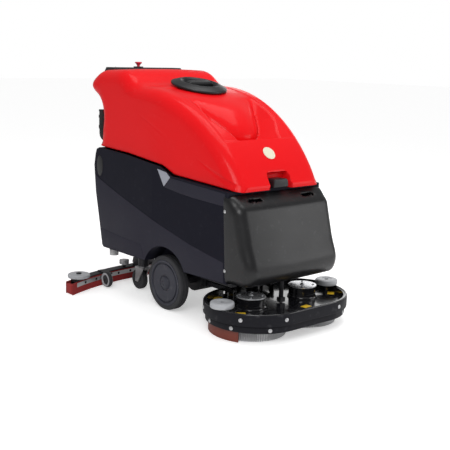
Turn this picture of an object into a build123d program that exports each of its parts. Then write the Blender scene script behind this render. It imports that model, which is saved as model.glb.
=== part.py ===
from build123d import *
import os
from math import cos, radians, sin, sqrt

# Walk-behind floor scrubber-dryer, millimetres.  +Z up, +Y towards the operator, -Y travel forwards.
# Everything is drawn with y = 0 on the drive axle and z = 0 on the floor; save() then moves it so that
# the origin is the middle of the machine's footprint.

# ---------------------------------------------------------------- driving dimensions
DECK_REACH = 686.0          # axle to the front of the brush deck
HANDLE_REACH = 669.0        # axle to the back of the handle bar
BODY_HALF_WIDTH = 298.0     # lower body at the back
BODY_NOSE_HALF_WIDTH = 268.0  # lower body at its front wall
BODY_REAR = 528.0           # axle to the back wall at the seam
BODY_FRONT = -430.0         # front wall of the solution tank
BODY_BOTTOM = 213.0
BODY_WALL = 6.0
SEAM_GAP = 5.0              # open joint between the two tanks
RUNNING_GAP = 0.05          # radial clearance of a shaft in its bore
SIDE_GAP = 1.0              # axial clearance beside a turning part
FREE_GAP = 0.3              # clearance of a sliding part in its guide

# seam between the recovery tank and the lower body, back to front
SEAM_LINE = [(522.0, 703.0), (267.0, 691.0), (5.0, 664.0), (-72.0, 630.0), (-420.0, 604.0)]

# drive wheels
WHEEL_RADIUS = 126.0
WHEEL_WIDTH = 50.0
WHEEL_OUTER_X = 270.0
TYRE_THICKNESS = 20.0
AXLE_RADIUS = 15.0
AXLE_TUBE_RADIUS = 24.0
ARCH_RADIUS = 152.0
ARCH_CENTRE_Y = -25.0
ARCH_CENTRE_Z = 150.0
ARCH_INNER_X = 206.0

# chassis
PLATE_TOP = BODY_BOTTOM
PLATE_THICKNESS = 6.0
PLATE_HALF_WIDTH = 200.0
PLATE_REAR = 440.0
PLATE_FRONT = -255.0
RAIL_FRONT = -380.0
RAIL_X = 180.0
RAIL_WIDTH = 30.0
RAIL_HEIGHT = 30.0

# rear casters
CASTER_X = 150.0
CASTER_Y = 330.0
CASTER_TRAIL = 30.0
CASTER_RADIUS = 50.0
CASTER_WIDTH = 30.0
CASTER_STEM_RADIUS = 10.0
CASTER_TOWER_RADIUS = 26.0
CASTER_AXLE_RADIUS = 6.0
FORK_PLATE = 4.0

# brush deck, whose outline is two discs and the straight edges between them
LOBE_X = 118.0
LOBE_Y = -457.0
LOBE_RADIUS = DECK_REACH + LOBE_Y
BAND_THICKNESS = 8.0
DECK_RIM_TOP = 127.0
BAND_HEIGHT = 49.0
DECK_TOP = 100.0
DECK_SHEET = 6.0
SKIRT_BOTTOM = 46.0
SKIRT_STEP = 8.0
STRAP_THICKNESS = 6.0
BLADE_THICKNESS = 7.0
BLADE_TOP = 62.0
BRUSH_X = 155.0
BRUSH_Y = -462.0
BRUSH_RADIUS = 153.0
BRUSH_DISC_RADIUS = 138.0
BRUSH_DISC_BOTTOM = 60.0
BRUSH_DISC_TOP = 76.0
BRUSH_SHAFT_RADIUS = 12.0
MOTOR_RADIUS = 60.0
MOTOR_TOP = 152.0
ROLLER_X = 315.0
ROLLER_Y = -461.0
ROLLER_RADIUS = 51.0
ROLLER_THICKNESS = 26.0
ROLLER_LIFT = 4.0           # roller underside above the deck rim
ROLLER_PIN_RADIUS = 8.0

# parallel linkage that carries the brush deck
ARM_X = 110.0
ARM_LENGTH = 190.0
ARM_PIVOT_Y = -110.0
LOWER_PIVOT_Z = 128.0
UPPER_PIVOT_Z = 160.0
ARM_WIDTH = 14.0
ARM_DEPTH = 22.0
LINK_PIN_RADIUS = 7.0
CHEEK = 8.0

# squeegee, bent to a large circle that opens forwards
SQUEEGEE_ARC = 1130.0
SQUEEGEE_APEX_Y = 582.0
SQUEEGEE_HALF_WIDTH = 487.0
SQUEEGEE_BODY_HALF_WIDTH = 452.0
SQUEEGEE_DEPTH = 48.0
SQUEEGEE_TOP = 62.0
SQUEEGEE_SHEET = 12.0
SQUEEGEE_FLANGE = 6.0
SQUEEGEE_SKIRT = 30.0
LIP_THICKNESS = 4.0
LIP_TOP = 56.0
CLAMP_THICKNESS = 2.0
END_ROLLER_X = 413.0
END_ROLLER_RADIUS = 54.0
END_ROLLER_TOP = 84.0
SUPPORT_X = 268.0
SUPPORT_Y = 476.0
SUPPORT_RADIUS = 38.0
SUPPORT_WIDTH = 22.0
SUPPORT_AXLE_RADIUS = 5.0
SWING_PIVOT_Y = 215.0
SWING_PIN_RADIUS = 10.0
LIFT_PIVOT_Y = 262.0
LIFT_PIVOT_Z = 150.0
LIFT_ARM_X = 42.0
SUCTION_RADIUS = 24.0

# recovery tank
TANK_HALF_WIDTH = 285.0
TANK_NOSE_HALF_WIDTH = 252.0
TANK_WALL = 5.0
TANK_NOSE = (-468.0, 612.0)
CONSOLE_TOP = 1074.0
CONSOLE_REAR = 618.0
SHOULDER_RADIUS = 60.0
HINGE_Y = 540.0
HINGE_Z = 702.0
HINGE_X = 170.0
HINGE_LENGTH = 90.0
HINGE_RADIUS = 9.0
HINGE_PIN_RADIUS = 4.0
NOTCH_HALF_WIDTH = 66.0
NOTCH_HEIGHT = 58.0
NOTCH_DEPTH = 26.0

# lid of the recovery tank
LID_Y = 108.0
LID_Z = 999.0
LID_TILT = 12.0
LID_RADIUS = 132.0
LID_FLANGE = 12.0
LID_PLUG_RADIUS = 104.0
LID_PLUG_DEPTH = 26.0
NECK_THICKNESS = 6.0
NECK_HEIGHT = 6.0
SEAL_THICKNESS = 3.0
SEAL_HEIGHT = 8.0

# controls
POD_HALF_WIDTH = 205.0
POD_FRONT = 505.0
POD_TOP = 1081.0
POD_EDGE = 574.0
POD_REAR = 612.0
POD_HEEL = 1036.0
BUTTON_RADIUS = 9.0
BUTTON_DEPTH = 8.0
DIAL_RADIUS = 16.0
KEY_STEM_RADIUS = 4.0
STOP_X = -30.0
STOP_Y = 552.0
STOP_RADIUS = 18.0
STOP_TOP = 1109.0
STOP_STEM_RADIUS = 8.0
STOP_COLLAR = 5.0
HANDLE_RADIUS = 14.0
HANDLE_HALF_WIDTH = 195.0
HANDLE_Z = 1000.0
PADDLE_Y = 619.0
PADDLE_Z = 968.0

# front cover
COVER_WALL = 4.0
COVER_HALF_WIDTH = 270.0
COVER_BACK = -406.0
COVER_REACH = -578.0
COVER_TOP = 588.0
CREASE = (-500.0, 540.0)

# batteries, four in a square
BATTERY_SIZE = (260.0, 180.0, 255.0)
BATTERY_GAP = 6.0
BATTERY_Y = 243.0
BAY_FLOOR = 330.0
BAY_FRONT = -100.0

# hoses and fillers
ACTUATOR_X = 10.0
ACTUATOR_Y = -476.0
ACTUATOR_RADIUS = 26.0
ACTUATOR_BOTTOM = 262.0
GEARBOX_BOTTOM = 410.0
GEARBOX_TOP = 462.0
ROD_RADIUS = 10.0
ROD_TOP = 396.0
ROD_TRAVEL = 40.0
DRAIN_X = -242.0
DRAIN_RADIUS = 17.0
DRAIN_Z = 742.0
DRAIN_TOP = 868.0
DRAIN_STANDOFF = 22.0
FILL_Y = -250.0
FILL_Z = 470.0
FILL_RADIUS = 44.0

# ---------------------------------------------------------------- sizes worked out from those above
AXLE_SHIFT = (DECK_REACH - HANDLE_REACH) / 2
SKIRT_RADIUS = LOBE_RADIUS - BAND_THICKNESS
ROLLER_BOTTOM = DECK_RIM_TOP + ROLLER_LIFT
SQUEEGEE_CENTRE_Y = SQUEEGEE_APEX_Y - SQUEEGEE_ARC
WHEEL_INNER_X = WHEEL_OUTER_X - WHEEL_WIDTH
POD_SLOPE = (POD_REAR - POD_EDGE, POD_HEEL - POD_TOP)
SIDES = (-1, 1)
parts = {}


def save(name, *solids):
    """Keeps the solids of one node, moved from the axle to the middle of the footprint."""
    parts[name] = [Pos(0, AXLE_SHIFT, 0) * solid for piece in solids for solid in piece.solids()]


def side_prism(points, x_low, x_high):
    """A prism along X whose outline is given as (y, z) points."""
    face = make_face(Plane.YZ * Polyline(*points, close=True))
    return Pos(x_low, 0, 0) * extrude(face, amount=x_high - x_low, dir=(1, 0, 0))


def block(x_low, x_high, y_low, y_high, z_low, z_high):
    """A box between two corners."""
    size = (x_high - x_low, y_high - y_low, z_high - z_low)
    middle = ((x_low + x_high) / 2, (y_low + y_high) / 2, (z_low + z_high) / 2)
    return Pos(*middle) * Box(*size)


def mirrored_block(side, x_low, x_high, *rest):
    """A box on one side of the machine, given as if it were on the +X side."""
    low, high = sorted((side * x_low, side * x_high))
    return block(low, high, *rest)


def post(x, y, z_low, z_high, radius):
    """An upright round bar."""
    return Pos(x, y, (z_low + z_high) / 2) * Cylinder(radius, z_high - z_low)


def cross_bar(x_low, x_high, y, z, radius):
    """A round bar along X."""
    low, high = sorted((x_low, x_high))
    return Pos((low + high) / 2, y, z) * Rot(0, 90, 0) * Cylinder(radius, high - low)


def lobed(radius, z_low, z_high):
    """The deck outline at one radius: two discs and the block between them."""
    middle = block(-LOBE_X, LOBE_X, LOBE_Y - radius, LOBE_Y + radius, z_low, z_high)
    discs = [post(side * LOBE_X, LOBE_Y, z_low, z_high, radius) for side in SIDES]
    return middle + discs[0] + discs[1]


def lobed_ring(outer, inner, z_low, z_high):
    """A wall that follows the deck outline."""
    return lobed(outer, z_low, z_high) - lobed(inner, z_low - 1, z_high + 1)


def squeegee_band(inner, outer, z_low, z_high, half_width):
    """A strip of the squeegee's large circle, cut off at a half width."""
    ring = Pos(0, SQUEEGEE_CENTRE_Y, (z_low + z_high) / 2) * (
        Cylinder(outer, z_high - z_low) - Cylinder(inner, z_high - z_low + 2)
    )
    return ring & block(-half_width, half_width, 0, HANDLE_REACH, z_low - 1, z_high + 1)


def squeegee_y(x):
    """Where the middle of the squeegee lies at one x."""
    return SQUEEGEE_CENTRE_Y + sqrt(SQUEEGEE_ARC ** 2 - x ** 2)


# ---------------------------------------------------------------- lower body
def body_outline(inset):
    """Side view of the lower body, each wall moved in by the inset."""
    top = [(y, z - SEAM_GAP / 2) for y, z in SEAM_LINE[1:-1]]
    outline = [
        (BODY_REAR - 34, SEAM_LINE[0][1] - SEAM_GAP / 2),
        (BODY_REAR - 10, SEAM_LINE[0][1] - 12),
        (BODY_REAR, SEAM_LINE[0][1] - 36),
        (BODY_REAR + 12, 612.0),
        (BODY_REAR, 485.0),
        (494.0, 330.0),
        (472.0, BODY_BOTTOM + 10),
        (462.0, BODY_BOTTOM),
        (BODY_FRONT, BODY_BOTTOM),
        (BODY_FRONT, SEAM_LINE[-1][1] - SEAM_GAP / 2),
    ] + top[::-1]
    face = make_face(Polyline(*outline, close=True))
    return offset(face, -inset, kind=Kind.INTERSECTION) if inset else face


def body_plan(inset):
    """Top view of the lower body, which narrows towards the front."""
    wide, nose = BODY_HALF_WIDTH, BODY_NOSE_HALF_WIDTH
    outline = [(-wide, 620), (wide, 620), (wide, 60), (nose, BODY_FRONT - 20), (-nose, BODY_FRONT - 20),
               (-wide, 60)]
    face = make_face(Polyline(*outline, close=True))
    return offset(face, -inset, kind=Kind.INTERSECTION) if inset else face


def body_block(inset):
    """The lower body as a full block, each wall moved in by the inset."""
    side = Pos(-400, 0, 0) * extrude(Plane.YZ * body_outline(inset), amount=800, dir=(1, 0, 0))
    return side & extrude(body_plan(inset), amount=900)


def wheel_wells(growth):
    """The two arches over the drive wheels, grown by a wall."""
    wells = []
    for side in SIDES:
        bar = cross_bar(side * (ARCH_INNER_X - growth), side * 400, ARCH_CENTRE_Y, ARCH_CENTRE_Z,
                        ARCH_RADIUS + growth)
        foot = mirrored_block(side, ARCH_INNER_X - growth, 400, ARCH_CENTRE_Y - ARCH_RADIUS - growth,
                              ARCH_CENTRE_Y + ARCH_RADIUS + growth, 0, ARCH_CENTRE_Z)
        wells += [bar, foot]
    return wells


def solution_tank():
    """Moulded tub: battery bay at the back and on top, solution space below and in front."""
    outer = body_block(0)
    wells = wheel_wells(0)
    liners = wheel_wells(BODY_WALL)
    for well in wells:
        outer = outer - well
    inner = body_block(BODY_WALL)
    bay_top = block(-400, 400, BAY_FRONT, 480, 560, 760) & extrude(body_plan(BODY_WALL), amount=900)
    bay = (inner & block(-400, 400, BAY_FRONT, 700, BAY_FLOOR, 720)) + bay_top
    water = inner - block(-400, 400, BAY_FRONT - BODY_WALL, 700, BAY_FLOOR - BODY_WALL, 760)
    for liner in liners:
        water = water - liner
    tub = outer - bay - water
    mouth = cross_bar(BODY_NOSE_HALF_WIDTH - 30, 330, FILL_Y, FILL_Z, FILL_RADIUS - 8)
    return tub - mouth


# ---------------------------------------------------------------- front cover
def cover_outline(inset):
    """Side view of the front cover."""
    outline = [
        (COVER_BACK, COVER_TOP),
        (CREASE[0] + 62, COVER_TOP),
        CREASE,
        (-546.0, 372.0),
        (COVER_REACH, 300.0),
        (COVER_REACH + 6, 268.0),
        (COVER_REACH + 42, BODY_BOTTOM + 13),
        (BODY_FRONT - 20, BODY_BOTTOM + 2),
        (COVER_BACK - 22, BODY_BOTTOM + 2),
    ]
    face = make_face(Polyline(*outline, close=True))
    return offset(face, -inset, kind=Kind.INTERSECTION) if inset else face


def cover_plan(inset):
    """Top view of the front cover, bowed at the front with rounded corners."""
    wide = COVER_HALF_WIDTH + 6
    corner = 36
    outline = [(-wide, COVER_BACK + 60), (wide, COVER_BACK + 60), (wide - 8, COVER_REACH + corner),
               (wide - corner, COVER_REACH + 6), (0, COVER_REACH - 1), (-wide + corner, COVER_REACH + 6),
               (-wide + 8, COVER_REACH + corner)]
    face = make_face(Polyline(*outline, close=True))
    return offset(face, -inset, kind=Kind.INTERSECTION) if inset else face


def cover_block(inset):
    """The front cover as a full block."""
    side = Pos(-400, 0, 0) * extrude(Plane.YZ * cover_outline(inset), amount=800, dir=(1, 0, 0))
    return side & extrude(cover_plan(inset), amount=900)


def front_cover():
    """Thin shell that wraps the front wall; it is open towards the tank and underneath."""
    shell = cover_block(0) - cover_block(COVER_WALL)
    flanges = cover_block(COVER_WALL) & block(-400, 400, BODY_FRONT + 2, COVER_BACK + 1, 0, 700)
    shell = shell - flanges - body_block(-FREE_GAP)
    under = block(-COVER_HALF_WIDTH + 40, COVER_HALF_WIDTH - 40, COVER_REACH + 50, 0, 150, BODY_BOTTOM + 30)
    shell = shell - under
    for side in SIDES:
        slit = mirrored_block(side, 120, 190, -475, -462, COVER_TOP - 60, COVER_TOP + 10)
        shell = shell - slit
    return max(shell.solids(), key=lambda solid: solid.volume)


def cover_screws():
    """Two button-head screws on each flank of the front cover."""
    screws = []
    for side in SIDES:
        for y, z in ((BODY_FRONT + 12, 522.0), (BODY_FRONT + 4, 272.0)):
            start = side * (BODY_NOSE_HALF_WIDTH + 8.5)
            screws.append(cross_bar(start, start + side * 4, y, z, 7))
    return screws


# ---------------------------------------------------------------- recovery tank
def tank_outline(inset):
    """Side view of the recovery tank: sloping front, raised console at the back."""
    rise = SEAM_GAP / 2
    heel = (526.0, SEAM_LINE[0][1] + rise + 10)
    bottom = [(y, z + rise) for y, z in SEAM_LINE[1:]]
    waist, lip, brow = (521.0, 796.0), (545.0, 931.0), (598.0, 1032.0)
    roof_rear, roof_front, step_foot = (505.0, CONSOLE_TOP - 4), (362.0, CONSOLE_TOP), (270.0, 1026.0)
    edges = [
        Line(heel, waist),
        ThreePointArc(waist, (514.0, 868.0), lip),
        Line(lip, (598.0, 958.0)),
        ThreePointArc((598.0, 958.0), (CONSOLE_REAR, 995.0), brow),
        Line(brow, (540.0, 1066.0)),
        Line((540.0, 1066.0), roof_rear),
        Line(roof_rear, roof_front),
        ThreePointArc(roof_front, (312.0, 1058.0), step_foot),
        ThreePointArc(step_foot, (222.0, 1007.0), (168.0, 1003.0)),
        ThreePointArc((168.0, 1003.0), (-193.0, 893.0), TANK_NOSE),
        Polyline(TANK_NOSE, (TANK_NOSE[0] + 8, 602), *bottom[::-1], (510, SEAM_LINE[0][1] + rise), heel),
    ]
    face = make_face([edge for part in edges for edge in part.edges()])
    return offset(face, -inset, kind=Kind.INTERSECTION) if inset else face


def tank_plan(inset):
    """Top view of the recovery tank, narrowing to a rounded nose."""
    wide, nose = TANK_HALF_WIDTH, TANK_NOSE_HALF_WIDTH
    outline = [(-wide, 640), (wide, 640), (wide, 40), (nose, -400), (nose - 36, TANK_NOSE[1] - 1076),
               (nose - 80, TANK_NOSE[0] - 4), (0, TANK_NOSE[0] - 12), (-nose + 80, TANK_NOSE[0] - 4),
               (-nose + 36, TANK_NOSE[1] - 1076), (-nose, -400), (-wide, 40)]
    face = make_face(Polyline(*outline, close=True))
    return offset(face, -inset, kind=Kind.INTERSECTION) if inset else face


def tank_front(inset):
    """Front view of the recovery tank: upright sides and round shoulders."""
    half = TANK_HALF_WIDTH + 2
    face = Pos(0, 800) * RectangleRounded(2 * half, 2 * (CONSOLE_TOP + 2 - 800), SHOULDER_RADIUS)
    return offset(face, -inset) if inset else face


def tank_block(inset):
    """The recovery tank as a full block."""
    side = Pos(-400, 0, 0) * extrude(Plane.YZ * tank_outline(inset), amount=800, dir=(1, 0, 0))
    front = Pos(0, 800, 0) * extrude(Plane.XZ * tank_front(inset), amount=1600, dir=(0, -1, 0))
    return side & extrude(tank_plan(inset), amount=1300) & front


def lid_place():
    """Frame on the lid's seat, Z along the lid's axis."""
    return Pos(0, LID_Y, LID_Z) * Rot(LID_TILT, 0, 0)


def recovery_tank():
    """Hollow moulding with a neck for the lid, a drain mouth and a notch for the grip."""
    neck_outer = LID_PLUG_RADIUS + SEAL_THICKNESS + FREE_GAP + NECK_THICKNESS
    neck_bore = LID_PLUG_RADIUS + SEAL_THICKNESS + FREE_GAP
    notch = block(-NOTCH_HALF_WIDTH, NOTCH_HALF_WIDTH, TANK_NOSE[0] - 30, TANK_NOSE[0] + NOTCH_DEPTH + 40,
                  560, 604 + NOTCH_HEIGHT)
    liner = block(-NOTCH_HALF_WIDTH - TANK_WALL, NOTCH_HALF_WIDTH + TANK_WALL, TANK_NOSE[0] - 40,
                  TANK_NOSE[0] + NOTCH_DEPTH + 40 + TANK_WALL, 560, 604 + NOTCH_HEIGHT + TANK_WALL)
    outer = tank_block(0) - notch
    collar = lid_place() * Pos(0, 0, -20) * Cylinder(neck_outer, 40)
    bore = lid_place() * Pos(0, 0, -20) * Cylinder(neck_bore, 80)
    pod_seat = block(-POD_HALF_WIDTH - FREE_GAP, POD_HALF_WIDTH + FREE_GAP, POD_FRONT - FREE_GAP,
                     CONSOLE_REAR + 40, POD_HEEL - FREE_GAP, 1200)
    pod_liner = block(-POD_HALF_WIDTH - TANK_WALL, POD_HALF_WIDTH + TANK_WALL, POD_FRONT - TANK_WALL,
                      CONSOLE_REAR + 40, POD_HEEL - TANK_WALL, 1200)
    shell = outer - (tank_block(TANK_WALL) - liner - pod_liner)
    shell = shell + (collar & tank_block(-NECK_HEIGHT))
    shell = shell - bore - pod_seat
    drain = Pos(DRAIN_X, 520, DRAIN_Z) * Rot(90, 0, 0) * Cylinder(DRAIN_RADIUS - 3, 60)
    shell = shell - drain
    return max(shell.solids(), key=lambda solid: solid.volume)


def tank_lid():
    """Round lid with a plug that fits the neck."""
    flange_bottom = NECK_HEIGHT
    flange = Pos(0, 0, flange_bottom + LID_FLANGE / 2) * Cylinder(LID_RADIUS, LID_FLANGE)
    plug = Pos(0, 0, flange_bottom - LID_PLUG_DEPTH / 2) * Cylinder(LID_PLUG_RADIUS, LID_PLUG_DEPTH)
    hollow = Pos(0, 0, flange_bottom - LID_PLUG_DEPTH / 2 - 4) * Cylinder(LID_PLUG_RADIUS - 5, LID_PLUG_DEPTH)
    grip = Pos(0, 0, flange_bottom + LID_FLANGE + 7) * Box(150, 40, 14)
    return lid_place() * (flange + plug - hollow + grip)


def lid_seal():
    """Rubber ring on the lid's plug."""
    middle = NECK_HEIGHT - LID_PLUG_DEPTH / 2
    ring = Cylinder(LID_PLUG_RADIUS + SEAL_THICKNESS, SEAL_HEIGHT)
    ring = ring - Cylinder(LID_PLUG_RADIUS, SEAL_HEIGHT + 2)
    return lid_place() * Pos(0, 0, middle) * ring


def tank_hinges():
    """Butt hinges behind the seam: leaves and pins on the body, leaves with barrels on the tank."""
    fixed, moving = [], []
    third = HINGE_LENGTH / 3
    for side in SIDES:
        low = side * HINGE_X - HINGE_LENGTH / 2
        pin = cross_bar(low, low + HINGE_LENGTH, HINGE_Y, HINGE_Z, HINGE_PIN_RADIUS)
        leaf = block(low, low + HINGE_LENGTH, BODY_REAR + 7, BODY_REAR + 10, HINGE_Z - 62, HINGE_Z - 12)
        knuckles = [cross_bar(low + start, low + start + third, HINGE_Y, HINGE_Z, HINGE_RADIUS)
                    for start in (0, 2 * third)]
        webs = [block(low + start, low + start + third, BODY_REAR + 7, HINGE_Y, HINGE_Z - 12.5, HINGE_Z)
                for start in (0, 2 * third)]
        spacers = [block(low + start, low + start + 16, BODY_REAR - 12, BODY_REAR + 7.5, HINGE_Z - 60,
                         HINGE_Z - 44) for start in (8, HINGE_LENGTH - 24)]
        part = leaf + pin
        for extra in knuckles + webs + spacers:
            part = part + extra
        fixed.append(part - body_block(0))
        barrel = cross_bar(low + third + FREE_GAP, low + 2 * third - FREE_GAP, HINGE_Y, HINGE_Z, HINGE_RADIUS)
        web = block(low + third + FREE_GAP, low + 2 * third - FREE_GAP, BODY_REAR + 2, HINGE_Y,
                    HINGE_Z, HINGE_Z + HINGE_RADIUS)
        plate = block(low, low + HINGE_LENGTH, BODY_REAR, BODY_REAR + 4, HINGE_Z + HINGE_RADIUS + 1,
                      HINGE_Z + 56)
        riser = block(low + third + FREE_GAP, low + 2 * third - FREE_GAP, BODY_REAR, BODY_REAR + 4,
                      HINGE_Z + 2, HINGE_Z + HINGE_RADIUS + 1.5)
        leg = block(low + 6, low + HINGE_LENGTH - 6, 515, BODY_REAR + 0.5, HINGE_Z + 30, HINGE_Z + 50)
        hinge = barrel + web + plate + riser + leg
        bore = cross_bar(low - 1, low + HINGE_LENGTH + 1, HINGE_Y, HINGE_Z, HINGE_PIN_RADIUS + RUNNING_GAP)
        moving.append(hinge - bore - tank_block(0))
    save("tank_hinge_base", *fixed)
    save("tank_hinge_leaf", *moving)


def front_grip():
    """Finger grip in the notch at the front of the tank."""
    back = TANK_NOSE[0] + NOTCH_DEPTH + 40
    outline = [(back, 606.0), (back, 640.0), (back - 18, 634.0), (back - 54, 616.0),
               (back - 54, 606.0)]
    grip = side_prism(outline, -44, 44)
    pocket = block(-34, 34, back - 46, back - 8, 590, 622)
    return grip - pocket


def float_cage():
    """Cage under the lid that keeps the float below the suction mouth."""
    tube = post(0, 410, 905, 1040, 44) - post(0, 410, 909, 1036, 40)
    slots = [Pos(0, 410, 970) * Rot(0, 0, turn) * Box(100, 14, 90) for turn in range(0, 180, 45)]
    for slot in slots:
        tube = tube - slot
    tube = tube + post(0, 410, 1036, CONSOLE_TOP - 3, 20)
    return tube - tank_outer_wall()


def tank_outer_wall():
    """Everything outside the cavity of the recovery tank."""
    return block(-400, 400, 300, 560, 900, 1200) - tank_block(TANK_WALL)


def float_ball():
    """Hollow ball that shuts the suction mouth when the tank is full."""
    return Pos(0, 410, 909 + 32) * (Sphere(32) - Sphere(29))


# ---------------------------------------------------------------- controls
def pod_place():
    """Frame on the sloping face of the control pod, Z square to the face."""
    rise_y, rise_z = POD_SLOPE
    middle = ((POD_EDGE + POD_REAR) / 2, (POD_TOP + POD_HEEL) / 2)
    plane = Plane(origin=(0, *middle), x_dir=(1, 0, 0), z_dir=(0, -rise_z, rise_y))
    return plane.location


def on_pod(x, depth, shape):
    """Puts a shape on the sloping face at one x, raised by a depth."""
    return pod_place() * Pos(x, 0, depth) * shape


BUTTONS = (("vacuum_button", 62.0), ("brush_button", 96.0))
DIAL_X = 150.0
KEY_X = -130.0
GAUGE_X = -68.0


def control_panel():
    """Pod with seats for the buttons, dial, key and stop switch; the gauge and switch body are set in."""
    outline = [(POD_FRONT, POD_HEEL), (POD_FRONT, POD_TOP - 5), (POD_FRONT + 8, POD_TOP), (POD_EDGE, POD_TOP),
               (POD_REAR, POD_HEEL)]
    pod = side_prism(outline, -POD_HALF_WIDTH, POD_HALF_WIDTH)
    for _, x in BUTTONS:
        pod = pod - on_pod(x, 0, Cylinder(BUTTON_RADIUS + FREE_GAP, 2 * BUTTON_DEPTH + 8))
    pod = pod - on_pod(DIAL_X, 0, Cylinder(5 + RUNNING_GAP, 24))
    pod = pod - post(STOP_X, STOP_Y, POD_TOP - 20, POD_TOP + 1, STOP_STEM_RADIUS + RUNNING_GAP)
    lock_body = on_pod(KEY_X, 1.5, Cylinder(13, 3)) - on_pod(KEY_X, 0, Cylinder(KEY_STEM_RADIUS + 1, 60))
    pod = pod - on_pod(KEY_X, 0, Cylinder(KEY_STEM_RADIUS + RUNNING_GAP, 30))
    gauge = on_pod(GAUGE_X, 1.5, Box(54, 34, 3))
    collar = post(STOP_X, STOP_Y, POD_TOP, POD_TOP + STOP_COLLAR, 24)
    collar = collar - post(STOP_X, STOP_Y, POD_TOP - 1, POD_TOP + STOP_COLLAR + 1, STOP_STEM_RADIUS + 1)
    save("control_panel", pod, lock_body, gauge, collar)


def control_keys():
    """Push buttons, speed dial, key and stop button."""
    for name, x in BUTTONS:
        save(name, on_pod(x, -BUTTON_DEPTH / 2 + 3, Cylinder(BUTTON_RADIUS, BUTTON_DEPTH + 6)))
    dial = on_pod(DIAL_X, SIDE_GAP + 7, Cylinder(DIAL_RADIUS, 14)) + on_pod(DIAL_X, 0, Cylinder(5, 16))
    save("speed_dial", dial)
    stem = on_pod(KEY_X, 0, Cylinder(KEY_STEM_RADIUS, 24))
    bow = on_pod(KEY_X, 18, Box(3, 20, 16)) - on_pod(KEY_X, 19, Rot(0, 90, 0) * Cylinder(4, 10))
    save("key", stem + bow)
    cap_low = STOP_TOP - 12
    button = post(STOP_X, STOP_Y, cap_low, STOP_TOP, STOP_RADIUS)
    stem = post(STOP_X, STOP_Y, POD_TOP - 12, cap_low + 1, STOP_STEM_RADIUS)
    save("emergency_stop", button + stem)


def handle_bar():
    """Bent tube behind the console."""
    rear = HANDLE_REACH - HANDLE_RADIUS
    front = 560
    path = FilletPolyline((-HANDLE_HALF_WIDTH, front, HANDLE_Z), (-HANDLE_HALF_WIDTH, rear, HANDLE_Z),
                          (HANDLE_HALF_WIDTH, rear, HANDLE_Z), (HANDLE_HALF_WIDTH, front, HANDLE_Z), radius=34)
    section = Plane(origin=path @ 0, z_dir=path % 0) * Circle(HANDLE_RADIUS)
    tube = sweep(section, path=path)
    return tube - tank_block(0)


def drive_paddle():
    """Lever under the handle bar, hinged in two ears."""
    rear = HANDLE_REACH - 20
    blade = block(-120, 120, PADDLE_Y + 6, rear, PADDLE_Z - 3, PADDLE_Z + 3)
    barrel = cross_bar(-120, 120, PADDLE_Y + 4, PADDLE_Z, 7)
    bore = cross_bar(-130, 130, PADDLE_Y + 4, PADDLE_Z, 4 + RUNNING_GAP)
    return blade + barrel - bore


def paddle_ears():
    """Ears and pin that carry the drive paddle, set on the back of the console."""
    ears = cross_bar(-132, 132, PADDLE_Y + 4, PADDLE_Z, 4)
    for side in SIDES:
        ears = ears + mirrored_block(side, 121, 131, 560, PADDLE_Y + 12, PADDLE_Z - 9, PADDLE_Z + 9)
    return ears - tank_block(0)


# ---------------------------------------------------------------- drain hose
def drain_line():
    """Drain hose clipped upright to the back of the tank, with its elbow, clips and plug."""
    hose_y = BODY_REAR + DRAIN_STANDOFF
    wall = 512
    elbow_path = FilletPolyline((DRAIN_X, wall, DRAIN_Z), (DRAIN_X, hose_y, DRAIN_Z),
                                (DRAIN_X, hose_y, DRAIN_Z + 34), radius=24)
    section = Plane(origin=elbow_path @ 0, z_dir=elbow_path % 0) * Circle(DRAIN_RADIUS)
    elbow = sweep(section, path=elbow_path) - tank_block(0)
    elbow = elbow - (Pos(DRAIN_X, wall, DRAIN_Z) * Rot(90, 0, 0) * Cylinder(DRAIN_RADIUS - 3, 60))
    hose = post(DRAIN_X, hose_y, DRAIN_Z + 34, DRAIN_TOP, DRAIN_RADIUS)
    hose = hose - post(DRAIN_X, hose_y, DRAIN_Z + 30, DRAIN_TOP + 1, DRAIN_RADIUS - 3)
    clips = []
    for z in (DRAIN_Z + 52, DRAIN_TOP - 24):
        ring = post(DRAIN_X, hose_y, z - 7, z + 7, DRAIN_RADIUS + 3) - post(DRAIN_X, hose_y, z - 8, z + 8,
                                                                           DRAIN_RADIUS)
        foot = block(DRAIN_X - 8, DRAIN_X + 8, 500, hose_y - DRAIN_RADIUS - 1, z - 7, z + 7)
        clips.append(ring + foot - tank_block(0))
    save("drain_hose", hose, elbow, *clips)
    plug = post(DRAIN_X, hose_y, DRAIN_TOP - 16, DRAIN_TOP + 1, DRAIN_RADIUS - 3 - FREE_GAP)
    save("drain_plug", plug + post(DRAIN_X, hose_y, DRAIN_TOP + FREE_GAP, DRAIN_TOP + 9, DRAIN_RADIUS + 2))


def fill_cap():
    """Screw cap on the solution filler, with its own plug."""
    wall_x = BODY_HALF_WIDTH - 12
    cap = cross_bar(wall_x + 6, wall_x + 24, FILL_Y, FILL_Z, FILL_RADIUS + 4)
    plug = cross_bar(wall_x - 28, wall_x + 8, FILL_Y, FILL_Z, FILL_RADIUS - 8 - FREE_GAP)
    return cap - body_block(-FREE_GAP) + plug


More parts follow.
